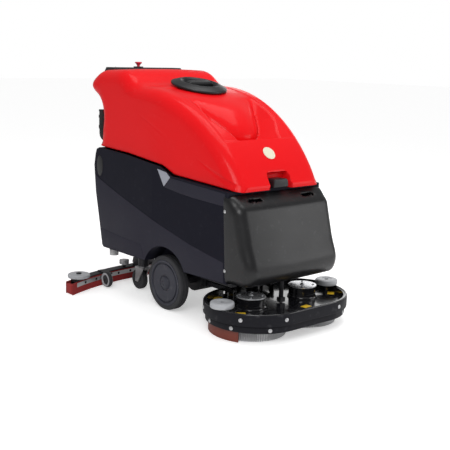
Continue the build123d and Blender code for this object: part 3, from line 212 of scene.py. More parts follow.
RED = Finish("red_tank", (0.77, 0.008, 0.011), (0.70, 0.005, 0.008), 0.32, coat=0.16, coat_roughness=0.12,
             grain_scale=260.0, grain_strength=0.08, scuff=0.04, scuff_colour=(0.95, 0.14, 0.14),
             specular=0.06)
BODY = Finish("slate_body", (0.012, 0.012, 0.020), (0.009, 0.009, 0.015), 0.44, grain=Grain.LEATHER,
              grain_scale=650.0, grain_strength=0.14, scuff=0.04, scuff_colour=(0.12, 0.12, 0.14),
              specular=0.05)
SWOOSH = Finish("slate_flank", (0.030, 0.029, 0.041), (0.024, 0.023, 0.034), 0.48, grain=Grain.LEATHER,
                grain_scale=650.0, grain_strength=0.14, scuff=0.04, scuff_colour=(0.15, 0.15, 0.17),
                specular=0.08)
# Painted highlight: a pale grey for the seam facets, standing in for the bright reflection on the facet under
# the tank's seam step.
HIGHLIGHT_FACET = Finish("pale_facet", (0.33, 0.34, 0.39), (0.27, 0.28, 0.33), 0.40, grain=Grain.LEATHER,
               grain_scale=650.0)
COVER = Finish("black_cover", (0.008, 0.008, 0.009), (0.006, 0.006, 0.007), 0.36, grain=Grain.LEATHER,
               grain_scale=520.0, grain_strength=0.30, grain_depth=0.0006, scuff=0.04, specular=0.34,
               coat=0.2, coat_roughness=0.28)
BLACK = Finish("black_moulding", (0.011, 0.011, 0.013), (0.008, 0.008, 0.009), 0.36, grain_scale=700.0,
               specular=0.40)
GLOSS = Finish("gloss_pan", (0.010, 0.010, 0.012), (0.007, 0.007, 0.009), 0.18, coat=0.45,
               coat_roughness=0.06, grain_scale=180.0, grain_strength=0.06, scuff=0.04)
BAND = Finish("band_rubber", (0.014, 0.014, 0.018), (0.010, 0.010, 0.013), 0.45, grain_scale=420.0,
              specular=0.10)
WHEEL = Finish("wheel_disc", (0.042, 0.043, 0.057), (0.034, 0.035, 0.047), 0.42, grain_scale=500.0,
               scuff=0.12, specular=0.25)
TYRE = Finish("tyre_rubber", (0.040, 0.038, 0.040), (0.030, 0.028, 0.030), 0.62, grain=Grain.LEATHER,
              grain_scale=380.0, grain_strength=0.3, scuff=0.2, scuff_colour=(0.11, 0.10, 0.09),
              specular=0.35)
ROLLER = Finish("roller_grey", (0.44, 0.45, 0.47), (0.37, 0.38, 0.40), 0.38, grain_scale=420.0, coat=0.15,
                scuff=0.16, scuff_colour=(0.22, 0.22, 0.22))
STEEL = Finish("bright_steel", (0.66, 0.67, 0.69), (0.52, 0.53, 0.55), 0.24, metallic=1.0,
               grain=Grain.BRUSHED, grain_scale=260.0, gloss_spread=0.12, scuff=0.10,
               scuff_colour=(0.4, 0.38, 0.35))
CHROME = Finish("chrome_plate", (0.72, 0.73, 0.75), (0.60, 0.61, 0.64), 0.24, metallic=0.72,
                grain_scale=300.0, grain_strength=0.05, scuff=0.05)
DARK_STEEL = Finish("black_steel", (0.018, 0.018, 0.021), (0.013, 0.013, 0.015), 0.44, grain_scale=520.0,
                    scuff=0.18, scuff_colour=(0.13, 0.13, 0.14), specular=0.42)
BLADE = Finish("brown_rubber", (0.20, 0.034, 0.016), (0.15, 0.024, 0.012), 0.48, grain_scale=300.0,
               scuff=0.10, scuff_colour=(0.34, 0.12, 0.07))
LIP_RED = Finish("red_rubber", (0.24, 0.010, 0.014), (0.17, 0.006, 0.010), 0.42, grain_scale=300.0,
                 scuff=0.10, scuff_colour=(0.45, 0.1, 0.1))
BRISTLE = Finish("bristles", (0.62, 0.62, 0.63), (0.40, 0.40, 0.42), 0.6, tone_scale=220.0,
                 grain_scale=900.0)
SIGNAL = Finish("stop_red", (0.72, 0.035, 0.07), (0.62, 0.02, 0.05), 0.28, coat=0.4, grain_scale=500.0,
                scuff=0.04)
SEAL = Finish("seal_rubber", (0.014, 0.014, 0.014), (0.010, 0.010, 0.010), 0.6, grain_scale=500.0)
LABEL = Finish("yellow_label", (0.86, 0.56, 0.03), (0.78, 0.48, 0.02), 0.38, grain_scale=300.0, scuff=0.12,
               scuff_colour=(0.25, 0.16, 0.02))
CREAM = Finish("cream_badge", (0.78, 0.74, 0.58), (0.72, 0.68, 0.52), 0.34, coat=0.3, grain_scale=300.0)
HOSE = Finish("hose_black", (0.012, 0.012, 0.013), (0.009, 0.009, 0.010), 0.5, grain_scale=600.0)
BATTERY = Finish("battery_case", (0.045, 0.046, 0.050), (0.034, 0.035, 0.038), 0.5, grain_scale=400.0)
KNOB = Finish("knob_grey", (0.50, 0.50, 0.51), (0.42, 0.42, 0.43), 0.40, grain_scale=400.0)

NODE_FINISHES: dict[Finish, str] = {
    DARK_STEEL: "chassis_frame transaxle lift_actuator lift_rod tank_hinge_base tank_hinge_leaf handle_bar "
                "deck_arms deck_upper_link squeegee_swing_arm squeegee_lift_arms squeegee_channel "
                "squeegee_fittings",
    BODY: "solution_tank",
    COVER: "front_cover",
    STEEL: "cover_screws axle_brackets key caster_fork_left caster_fork_right deck_screws squeegee_clamps",
    BATTERY: "batteries",
    KNOB: "solution_fittings",
    BLACK: "vacuum_motor fill_cap front_grip tank_lid control_panel speed_dial drive_paddle drain_plug "
           "brush_motors",
    RED: "recovery_tank",
    ROLLER: "float_cage vacuum_button brush_button deck_roller_left deck_roller_right suction_pipe "
            "end_roller_left end_roller_right",
    SEAL: "lid_seal",
    SIGNAL: "emergency_stop",
    HOSE: "drain_hose",
    WHEEL: "drive_wheel_left drive_wheel_right",
    TYRE: "tyre_left tyre_right caster_wheel_left caster_wheel_right support_wheel_left support_wheel_right",
    GLOSS: "deck_plate",
    BAND: "bumper_band skirt_strap",
    BLADE: "side_blades",
    BRISTLE: "brush_left brush_right",
    LIP_RED: "squeegee_lips",
}


def finish_piece(mesh: Mesh, name: str, finish: Finish, body: str,
                 stands_for: Sequence[str] = (), smooth_angle: float = 38.0,
                 recalculate: bool = True) -> bpy.types.Object:
    """Brings a mesh to the frame, dresses it and hangs it on its body.

    Args:
        mesh: the piece in millimetres; it is freed.
        name: the piece's name.
        finish: its finish.
        body: the moving body that carries it.
        stands_for: the frame's nodes that it hides.
        smooth_angle: edges sharper than this stay crisp, in degrees.
        recalculate: whether the faces are turned outwards again.

    Returns:
        The finished object.
    """
    bmesh.ops.remove_doubles(mesh, verts=mesh.verts, dist=0.01)
    if recalculate:
        bmesh.ops.recalc_face_normals(mesh, faces=mesh.faces)
    bmesh.ops.transform(mesh, matrix=TO_FRAME, verts=mesh.verts)
    data = bpy.data.meshes.new(name)
    mesh.to_mesh(data)
    mesh.free()
    data.shade_smooth()
    data.set_sharp_from_angle(angle=math.radians(smooth_angle))
    data.materials.append(finish.material())
    made = bpy.data.objects.new(name, data)
    bpy.context.scene.collection.objects.link(made)
    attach(made, body)
    if stands_for:
        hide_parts(*stands_for)
    LOG.info("%s: %d faces on %s", name, len(data.polygons), body)
    return made


def turned(profile: Sequence[Point2], centre: Point3, axis: Axis = Axis.Z, steps: int = 48) -> Mesh:
    """Spins a profile of (radius, height) points about an axis through centre.

    Args:
        profile: the section, from one end of the axis to the other.
        centre: where height 0 stands.
        axis: the direction of the axis.
        steps: segments round the turn.

    Returns:
        The closed turned shape.
    """
    mesh = bmesh.new()
    points = [mesh.verts.new((radius, 0.0, height)) for radius, height in profile]
    edges = [mesh.edges.new(pair) for pair in zip(points, points[1:])]
    bmesh.ops.spin(mesh, geom=points + edges, cent=(0, 0, 0), axis=(0, 0, 1), angle=2 * math.pi, steps=steps,
                   use_merge=True)
    bmesh.ops.remove_doubles(mesh, verts=mesh.verts, dist=0.001)
    bmesh.ops.recalc_face_normals(mesh, faces=mesh.faces)
    bmesh.ops.transform(mesh, matrix=Matrix.Translation(centre) @ axis.value, verts=mesh.verts)
    return mesh


def ring_profile(inner: float, outer: float, low: float, high: float, round_edge: float) -> list[Point2]:
    """A closed ring section with rounded edges.

    Args:
        inner: the inner radius.
        outer: the outer radius.
        low: the lower face.
        high: the upper face.
        round_edge: the radius of the four edges.

    Returns:
        The closed section.
    """
    corners = ((outer, low, 1, 1), (outer, high, 1, -1), (inner, high, -1, -1), (inner, low, -1, 1))
    points: list[Point2] = []
    for number, (radius, height, out, up) in enumerate(corners):
        centre = (radius - out * round_edge, height + up * round_edge)
        start = -math.pi / 2 + number * math.pi / 2
        for step in range(4):
            turn = start + step * math.pi / 6
            points.append((centre[0] + round_edge * math.cos(turn), centre[1] + round_edge * math.sin(turn)))
    return points + [points[0]]


def prism(outline: Sequence[Point2], low: float, high: float, across: Axis = Axis.X) -> Mesh:
    """Extrudes an outline into a block.

    Args:
        outline: (y, z) points for Axis.X, (x, z) for Axis.Y and (x, y) for Axis.Z.
        low: where the block starts along the axis.
        high: where it ends.
        across: the direction of the extrusion.

    Returns:
        The block.
    """
    place: dict[Axis, Callable[[float, float], Point3]] = {
        Axis.X: lambda a, b: (low, a, b), Axis.Y: lambda a, b: (a, low, b), Axis.Z: lambda a, b: (a, b, low)}
    push = {Axis.X: (high - low, 0, 0), Axis.Y: (0, high - low, 0), Axis.Z: (0, 0, high - low)}[across]
    mesh = bmesh.new()
    face = mesh.faces.new([mesh.verts.new(place[across](*point)) for point in outline])
    grown = bmesh.ops.extrude_face_region(mesh, geom=[face], use_keep_orig=True)["geom"]
    far_side = [item for item in grown if isinstance(item, bmesh.types.BMVert)]
    bmesh.ops.translate(mesh, vec=push, verts=far_side)
    bmesh.ops.recalc_face_normals(mesh, faces=mesh.faces)
    return mesh


def soften(mesh: Mesh, width: float, segments: int = 3, angle: float = 28.0) -> Mesh:
    """Rounds every edge that is sharper than an angle.

    Args:
        mesh: the shape.
        width: how wide the rounding is.
        segments: its steps.
        angle: the sharpest angle that stays, in degrees.

    Returns:
        The same shape.
    """
    sharp = [edge for edge in mesh.edges
             if len(edge.link_faces) == 2 and edge.calc_face_angle(0.0) > math.radians(angle)]
    bmesh.ops.bevel(mesh, geom=sharp, offset=width, affect="EDGES", segments=segments, profile=0.5,
                    material=-1, clamp_overlap=True)
    return mesh


def block(low: Point3, high: Point3, round_edge: float = 2.0) -> Mesh:
    """A box between two corners with rounded edges.

    Args:
        low: one corner.
        high: the opposite corner.
        round_edge: how wide the rounding is.

    Returns:
        The box.
    """
    mesh = bmesh.new()
    bmesh.ops.create_cube(mesh, size=1.0)
    size = Vector(high) - Vector(low)
    bmesh.ops.scale(mesh, vec=size, verts=mesh.verts)
    bmesh.ops.translate(mesh, vec=(Vector(high) + Vector(low)) / 2, verts=mesh.verts)
    return soften(mesh, round_edge)


def joined(parts: Iterable[Mesh]) -> Mesh:
    """Puts several meshes in one and frees them.

    Args:
        parts: the meshes.

    Returns:
        The one mesh.
    """
    whole = bmesh.new()
    for part in parts:
        data = bpy.data.meshes.new("part")
        part.to_mesh(data)
        part.free()
        whole.from_mesh(data)
        bpy.data.meshes.remove(data)
    return whole


def mirrored(mesh: Mesh) -> Mesh:
    """The same shape on the machine's other side.

    Args:
        mesh: the shape, which is changed.

    Returns:
        The same mesh, mirrored.
    """
    bmesh.ops.scale(mesh, vec=(-1, 1, 1), verts=mesh.verts)
    bmesh.ops.reverse_faces(mesh, faces=mesh.faces)
    return mesh


def face_outwards(mesh: Mesh, outward: Vector, beyond: float) -> None:
    """Turns an open shell's faces outwards.

    Args:
        mesh: the shell, which is changed.
        outward: the direction that the test faces have to look along.
        beyond: how far along it the test faces lie.
    """
    bmesh.ops.recalc_face_normals(mesh, faces=mesh.faces)
    if sum(face.normal.dot(outward) * face.calc_area() for face in mesh.faces
           if face.calc_center_median().dot(outward) > beyond) < 0:
        bmesh.ops.reverse_faces(mesh, faces=mesh.faces)


def thicken(made: bpy.types.Object, wall: float) -> None:
    """Gives a shell its wall, inwards.

    Args:
        made: the shell.
        wall: the wall in millimetres.
    """
    thick = made.modifiers.new("wall", "SOLIDIFY")
    thick.thickness, thick.offset = wall * MM, -1.0


def arc_points(start: Point2, through: Point2, end: Point2, count: int) -> list[Point2]:
    """Points on the circle arc through three points, both ends included.

    Args:
        start: the first point.
        through: a point between.
        end: the last point.
        count: how many steps the arc has.

    Returns:
        The points in order.
    """
    ax, ay, bx, by, cx, cy = *start, *through, *end
    doubled = 2 * (ax * (by - cy) + bx * (cy - ay) + cx * (ay - by))
    a2, b2, c2 = ax * ax + ay * ay, bx * bx + by * by, cx * cx + cy * cy
    ox = (a2 * (by - cy) + b2 * (cy - ay) + c2 * (ay - by)) / doubled
    oy = (a2 * (cx - bx) + b2 * (ax - cx) + c2 * (bx - ax)) / doubled
    radius = math.hypot(ax - ox, ay - oy)
    first, middle, last = (math.atan2(y - oy, x - ox) for x, y in (start, through, end))
    turn = (last - first) % (2 * math.pi)
    if (middle - first) % (2 * math.pi) > turn:
        turn -= 2 * math.pi
    turns = [first + turn * k / count for k in range(count + 1)]
    return [(ox + radius * math.cos(angle), oy + radius * math.sin(angle)) for angle in turns]


def smoothstep(value: np.ndarray | float) -> np.ndarray | float:
    """The soft step from 0 to 1.

    Args:
        value: one number or many.

    Returns:
        The eased value, held between 0 and 1.
    """
    held = np.clip(value, 0.0, 1.0)
    return held * held * (3 - 2 * held)


@dataclass
class MouldedForm:
    """A hollow moulding: a side outline carried across the machine, with rounded shoulders.

    Attributes:
        outline: the closed side outline, (along, height) points.
        rounded: for each outline point, the shoulder radius that runs along it.
        heart: a point inside that sees the whole outline.
        half_width: the half width at a place along the machine.
        columns: the places across the flat of the form, from -1 to 1.
        shoulder_steps: rings round each shoulder.
        side_steps: rings from the shoulder to the heart.
    """

    outline: list[Point2]
    rounded: list[float]
    heart: Point2
    half_width: Callable[[np.ndarray], np.ndarray]
    columns: list[float]
    shoulder_steps: int = 9
    side_steps: int = 7

    def build(self) -> tuple[Mesh, np.ndarray, np.ndarray]:
        """Wraps a globe round the form.

        Returns:
            The mesh, each vertex's place across the flat (beyond 1 it is on a side) and its outward direction
            in the side view, for the sculpting that follows.
        """
        count, flat = len(self.outline), len(self.columns)
        edge = self.side_steps + self.shoulder_steps
        rings = 2 * edge + flat - 1
        mesh = bmesh.new()
        bmesh.ops.create_uvsphere(mesh, u_segments=count, v_segments=rings, radius=1.0)
        points = np.array(self.outline)
        radii = np.array(self.rounded)
        following, before = np.roll(points, -1, 0), np.roll(points, 1, 0)
        along = following - before
        along /= np.linalg.norm(along, axis=1)[:, None]
        outward = np.stack([along[:, 1], -along[:, 0]], 1)
        towards = np.array(self.heart) - points
        length = np.linalg.norm(towards, axis=1)
        if (outward * towards).sum() > 0:
            outward = -outward
        facing = np.clip(-(outward * towards).sum(1) / length, 0.3, 1.0)
        columns = np.array(self.columns)
        ring_of, spot_of = [], []
        for vertex in mesh.verts:
            ring = round(math.acos(max(-1.0, min(1.0, vertex.co.z))) / math.pi * rings)
            spot = round(math.atan2(vertex.co.y, vertex.co.x) / (2 * math.pi) * count) % count
            ring_of.append(ring)
            spot_of.append(spot)
        ring_no, spot = np.array(ring_of), np.array(spot_of)
        side = np.where(ring_no < edge, -1.0, np.where(ring_no > edge + flat - 1, 1.0, 0.0))
        depth_ring = np.where(side < 0, edge - ring_no, np.where(side > 0, ring_no - edge - flat + 1, 0))
        depth_ring = depth_ring.astype(float)
        radius = radii[spot]
        turn = np.clip(depth_ring / self.shoulder_steps, 0, 1) * math.pi / 2
        inset = radius * (1 - np.cos(turn))
        share = inset / (length[spot] * facing[spot])
        share = np.minimum(share, 0.92)
        beyond = np.clip((depth_ring - self.shoulder_steps) / self.side_steps, 0, 1)
        share = share + (1 - share) * beyond
        place = points[spot] + towards[spot] * share[:, None]
        width = self.half_width(place[:, 0])
        column = np.where(side == 0, columns[np.clip(ring_no - edge, 0, flat - 1)], side)
        x = column * (width - radius)
        lateral = depth_ring > 0
        gap, near = self._distance(place[lateral], points)
        reach = radii[near]
        held = np.clip(gap, 0, reach)
        x[lateral] = side[lateral] * (width[lateral] - reach + np.sqrt(reach ** 2 - (reach - held) ** 2))
        for number, vertex in enumerate(mesh.verts):
            vertex.co = (x[number], place[number, 0], place[number, 1])
        return mesh, np.where(lateral, side * (1 + share), column), outward[spot]

    def _distance(self, places: np.ndarray, points: np.ndarray) -> tuple[np.ndarray, np.ndarray]:
        """How far places are from the outline, and the outline point that each is nearest to.

        The nearest stretch is the one that lies fewest of its own shoulder radii away, so that a tight edge
        doesn't spread into a broad one.

        Args:
            places: the places.
            points: the outline.

        Returns:
            The distances and the outline points' numbers.
        """
        following = np.roll(points, -1, 0)
        radii = np.array(self.rounded)
        best = np.full(len(places), np.inf)
        gap = np.zeros(len(places))
        near = np.zeros(len(places), int)
        for number in range(len(points)):
            start, run = points[number], following[number] - points[number]
            t = np.clip(((places - start) @ run) / max(run @ run, 1e-9), 0, 1)
            far = np.linalg.norm(places - start - t[:, None] * run, axis=1)
            share = far / radii[number]
            closer = share < best
            best[closer], gap[closer], near[closer] = share[closer], far[closer], number
        return gap, near


def resampled(stretches: Sequence[tuple[Sequence[Point2], float, float]],
              smoothing: int) -> tuple[list[Point2], list[float]]:
    """Walks an outline at even steps.

    Args:
        stretches: (points, step, shoulder radius) for each stretch, in order round the outline.
        smoothing: how often the points of the broad stretches are evened out.

    Returns:
        The closed outline's points and the shoulder radius at each.
    """
    walked: list[np.ndarray] = []
    radii: list[float] = []
    for points, step, radius in stretches:
        line = np.array(points, float)
        lengths = np.concatenate([[0], np.cumsum(np.linalg.norm(np.diff(line, axis=0), axis=1))])
        count = max(1, round(lengths[-1] / step))
        for number in range(count):
            at = lengths[-1] * number / count
            walked.append(np.array([np.interp(at, lengths, line[:, 0]), np.interp(at, lengths, line[:, 1])]))
            radii.append(radius)
    places, reach = np.array(walked), np.array(radii)
    broad = (reach > 20) & (np.roll(reach, 1) > 20) & (np.roll(reach, -1) > 20)
    for _ in range(smoothing):
        evened = (np.roll(places, 1, 0) + 2 * places + np.roll(places, -1, 0)) / 4
        places[broad] = evened[broad]
    for _ in range(3):
        reach = np.where(reach > 0, (np.roll(reach, 1) + 2 * reach + np.roll(reach, -1)) / 4, reach)
    return [tuple(point) for point in places], [float(value) for value in reach]


@dataclass
class RecoveryTank:
    """The red tipping tank: humped rear, spoon-shaped dome in the front slope, grip notch and badge."""

    seam: list[Point2] = field(default_factory=lambda: [
        (-462, 600), (-420, 606.5), (-72, 632.5), (5, 666.5), (267, 693.5), (522, 706)])
    rear_half_width: float = 285.0
    front_half_width: float = 252.0
    taper_from: float = 40.0
    taper_length: float = 440.0
    nose_from: float = -410.0
    nose_length: float = 60.0
    nose_pinch: float = 10.0
    shoulder: float = 60.0
    lip_along: float = -322.0
    slope_centre: Point2 = (207.5, 226.0)
    slope_radius: float = 778.0
    dome_drop: float = 74.0
    dome_reach: float = 245.0
    dome_half_width: float = 150.0
    notch_half_width: float = 62.0
    notch_top: float = 668.0
    notch_depth_along: float = -408.0
    lid_centre: Point2 = (108.0, 999.0)
    lid_hole: float = 100.0
    badge_at: Point2 = (-378.0, 742.0)
    badge_stand: float = 4.2
    crown: float = 5.0
    nose_line: float = 609.0
    wall: float = 4.5

    def outline(self) -> tuple[list[Point2], list[float]]:
        """The side outline, from the heel over the top to the nose and back along the seam.

        Returns:
            The closed outline and the shoulder radius at each point.
        """
        rear = [(526, 714), (521, 796)] + arc_points((520, 800), (514, 868), (545, 931), 14)
        rear += [(598, 958)] + arc_points((600, 959), (618, 995), (598, 1032), 10) + [(540, 1066)]
        top = [(540, 1066), (505, 1070), (362, 1074)] + arc_points((360, 1074), (312, 1058), (270, 1026), 10)
        top += arc_points((268, 1025), (222, 1007), (168, 1003), 8)
        slope = arc_points((168, 1003), (-193, 893), (-468, 612), 60)
        return resampled([(rear, 9.0, self.shoulder), (top, 9.0, self.shoulder), (slope, 6.2, self.shoulder),
                          (self.seam, 16.0, 7.0), ([(522, 706), (526, 714)], 6.0, 7.0)], 7)

    def half_width(self, along: np.ndarray) -> np.ndarray:
        """The plan taper towards the nose.

        Args:
            along: places along the machine.

        Returns:
            The half width at each.
        """
        slope = (self.rear_half_width - self.front_half_width) / self.taper_length
        taper = self.rear_half_width - np.clip(self.taper_from - along, 0, None) * slope
        nose = np.clip(self.nose_from - along, 0, self.nose_length) / self.nose_length
        return taper - self.nose_pinch * nose ** 2

    def columns(self) -> list[float]:
        """Places across the flat, closer together at the notch's sides.

        Returns:
            The places, from -1 to 1.
        """
        middle = list(np.linspace(0, 0.25, 9))
        step = list(np.linspace(0.27, 0.40, 9))
        outer = list(np.linspace(0.43, 1.0, 19))
        half = middle + step + outer
        return [-value for value in reversed(half[1:])] + half

    def sunk(self, x: np.ndarray, along: np.ndarray) -> np.ndarray:
        """How far the spoon dips below the plain slope, 0 or less.

        Args:
            x: places across the machine.
            along: places along it.

        Returns:
            The depth at each.
        """
        swing = np.arcsin(np.clip((self.slope_centre[0] - along) / self.slope_radius, -1, 1))
        lip = math.asin((self.slope_centre[0] - self.lip_along) / self.slope_radius)
        up = (lip - swing) * self.slope_radius
        outer = 128.0 + 62.0 * smoothstep(up / 170.0)
        wall = -np.minimum(1.7 * up, 0.95 * (outer - np.abs(x)))
        fade = smoothstep((self.dome_reach + 85.0 - up) / 190.0)
        round_about = np.sqrt((x / self.dome_half_width) ** 2
                              + (np.clip(self.dome_reach + 50.0 - up, 0, None) / self.dome_reach) ** 2)
        dome = -self.dome_drop * fade * (1 - np.sqrt(np.clip(1 - round_about ** 2, 0, 1)))
        dome = np.where(round_about >= 1, -self.dome_drop * fade, dome)
        wall = np.minimum(wall, 0.0)
        soft = 7.0
        higher = 0.5 * (wall + dome + np.sqrt((wall - dome) ** 2 + soft ** 2)) - soft / 2
        higher = np.where(up < 0, 0.0, higher)
        return np.minimum(higher, 0.0) * smoothstep((up + 3.0) / 6.0)

    def shell(self) -> bpy.types.Object:
        """The shell itself.

        Returns:
            The shell, hollow under its wall.
        """
        outline, radii = self.outline()
        form = MouldedForm(outline, radii, (350.0, 950.0), self.half_width, self.columns())
        mesh, across, outward = form.build()
        place = np.array([vertex.co for vertex in mesh.verts])
        on_top = np.abs(across) <= 1.0
        upper = on_top & (place[:, 2] > self.nose_line)
        bare = place.copy()
        depth = np.where(upper & (place[:, 1] < 110), self.sunk(place[:, 0], place[:, 1]), 0.0)
        rise = self.crown * (1 - np.clip(np.abs(across), 0, 1) ** 2)
        crown = np.where(upper & (place[:, 1] < 520), rise, 0.0)
        crown *= smoothstep((place[:, 2] - 640.0) / 80.0)
        place[:, 1] += outward[:, 0] * (depth + crown)
        place[:, 2] += outward[:, 1] * (depth + crown)
        self._cut_notch(place, bare)
        for number, vertex in enumerate(mesh.verts):
            vertex.co = place[number]
        self._open_lid_hole(mesh)
        face_outwards(mesh, Vector((0, 0, 1)), 900.0)
        made = finish_piece(mesh, "tank_shell", RED, "tank", ("recovery_tank",), 50.0, False)
        thicken(made, self.wall)
        return made

    def _cut_notch(self, place: np.ndarray, bare: np.ndarray) -> None:
        """Pushes the rounded grip notch into the nose.

        Args:
            place: the vertices' places, which are changed.
            bare: the same places before any sculpting.
        """
        corner = 16.0
        dx = np.abs(bare[:, 0]) - (self.notch_half_width - corner)
        dz = bare[:, 2] - (self.notch_top - corner)
        beside = np.hypot(np.clip(dx, 0, None), np.clip(dz, 0, None))
        gap = beside + np.minimum(np.maximum(dx, dz), 0) - corner
        inside = smoothstep(-gap / 9.0 + 0.35)
        reach = np.clip(self.notch_depth_along - place[:, 1], 0, None)
        place[:, 1] += inside * reach

    def _open_lid_hole(self, mesh: Mesh) -> None:
        """Opens the round neck under the lid.

        Args:
            mesh: the shell, which is changed.
        """
        doomed = [face for face in mesh.faces
                  if (middle := face.calc_center_median()).z > 900
                  and math.hypot(middle.x, middle.y - self.lid_centre[0]) < self.lid_hole]
        bmesh.ops.delete(mesh, geom=doomed, context="FACES")

    def badge(self) -> bpy.types.Object:
        """The plain round badge on the nose.

        Returns:
            The badge.
        """
        along, height = self.badge_at
        tilt = math.atan2(self.slope_centre[0] - along, height - self.slope_centre[1])
        rim = [(0, 0), (29, 0), (30.5, 0.6), (31, 2.0), (30, 3.2), (28.4, 3.4), (27.4, 2.5), (0, 2.6)]
        disc = turned(rim, (0, 0, 0), Axis.Z, 56)
        reach = self.slope_radius + self.badge_stand
        spot = Vector((0, self.slope_centre[0] - math.sin(tilt) * reach,
                       self.slope_centre[1] + math.cos(tilt) * reach))
        bmesh.ops.transform(disc, matrix=Matrix.Translation(spot) @ Matrix.Rotation(tilt, 4, "X"),
                            verts=disc.verts)
        return finish_piece(disc, "tank_badge", CREAM, "tank")

    def grip(self) -> bpy.types.Object:
        """The black trapezoid grip in the notch.

        Returns:
            The grip.
        """
        outline = [(-44, 606), (44, 606), (41, 634), (33, 642), (-33, 642), (-41, 634)]
        body = soften(prism(outline, -462, -408, Axis.Y), 4.0, 4)
        return finish_piece(body, "nose_grip", BLACK, "tank", ("front_grip",))

    def make(self) -> None:
        """Builds the tank's pieces."""
        self.shell()
        self.badge()
        self.grip()


@dataclass
class TankLid:
    """The round lid: a dished flange round a sunken well, bridged by a grip."""

    centre: Point3 = (0.0, 108.0, 999.0)
    tilt: float = 12.0

    def make(self) -> None:
        """Builds the lid as one moulding."""
        profile = [(0, 9), (60, 9), (72, 11), (79, 20), (84, 27), (90, 29.5), (97, 28.5), (112, 22.5),
                   (124, 17.5), (130, 15.6), (132, 13), (132, 8), (130, 6.2), (120, 6), (104, 6), (101, 2),
                   (100, -14), (97, -15), (95, -12), (94, 3), (70, 4), (0, 4)]
        dish = turned(profile, (0, 0, 0), Axis.Z, 96)
        grip = prism([(-76, 8), (76, 8), (70, 26), (58, 33), (-58, 33), (-70, 26)], -17, 17, Axis.Y)
        grip = soften(grip, 5.0, 4)
        lid = joined([dish, grip])
        seat = Matrix.Translation(self.centre) @ Matrix.Rotation(math.radians(self.tilt), 4, "X")
        bmesh.ops.transform(lid, matrix=seat, verts=lid.verts)
        finish_piece(lid, "lid_cover", BLACK, "lid", ("tank_lid",), 40.0, False)


def stadium(profile: Sequence[Point2], lobe: float, along: float, steps: int = 96) -> Mesh:
    """Carries a section round two half circles and the straights between them.

    Args:
        profile: the section as (radius, height) points; a closed one ends where it starts.
        lobe: how far each half circle's centre stands from the machine's middle.
        along: where the centres stand along the machine.
        steps: segments in each half turn.

    Returns:
        The closed band.
    """
    mesh = bmesh.new()
    points = [mesh.verts.new((lobe, along - radius, height)) for radius, height in profile]
    edges = [mesh.edges.new(pair) for pair in zip(points, points[1:])]
    current = points + edges
    for side in (1.0, -1.0):
        spun = bmesh.ops.spin(mesh, geom=current, cent=(side * lobe, along, 0), axis=(0, 0, 1), angle=math.pi,
                              steps=steps)
        last = [item for item in spun["geom_last"] if isinstance(item, bmesh.types.BMEdge)]
        grown = bmesh.ops.extrude_edge_only(mesh, edges=last)["geom"]
        verts = [item for item in grown if isinstance(item, bmesh.types.BMVert)]
        bmesh.ops.translate(mesh, vec=(-side * 2 * lobe, 0, 0), verts=verts)
        current = verts + [item for item in grown if isinstance(item, bmesh.types.BMEdge)
                           and item.verts[0] in verts and item.verts[1] in verts]
    bmesh.ops.remove_doubles(mesh, verts=mesh.verts, dist=0.01)
    bmesh.ops.recalc_face_normals(mesh, faces=mesh.faces)
    return mesh


def bolt(centre: Point3, outward: Vector, washer: float = 8.5, head: float = 6.0,
         height: float = 5.0) -> Mesh:
    """A domed screw head on a washer that looks along a direction.

    Args:
        centre: where it stands.
        outward: which way it looks.
        washer: the washer's radius.
        head: the head's radius.
        height: how far the head stands out.

    Returns:
        The screw head.
    """
    profile = [(0, -1), (washer, -1), (washer, 1.0), (washer - 0.8, 1.6), (head + 0.4, 1.6), (head, 2.2),
               (head * 0.96, height * 0.7), (head * 0.7, height * 0.93), (head * 0.42, height),
               (head * 0.36, height - 1.6), (0, height - 1.6)]
    made = turned(profile, (0, 0, 0), Axis.Z, 20)
    seat = Matrix.Translation(centre) @ outward.to_track_quat("Z", "Y").to_matrix().to_4x4()
    bmesh.ops.transform(made, matrix=seat, verts=made.verts)
    return made


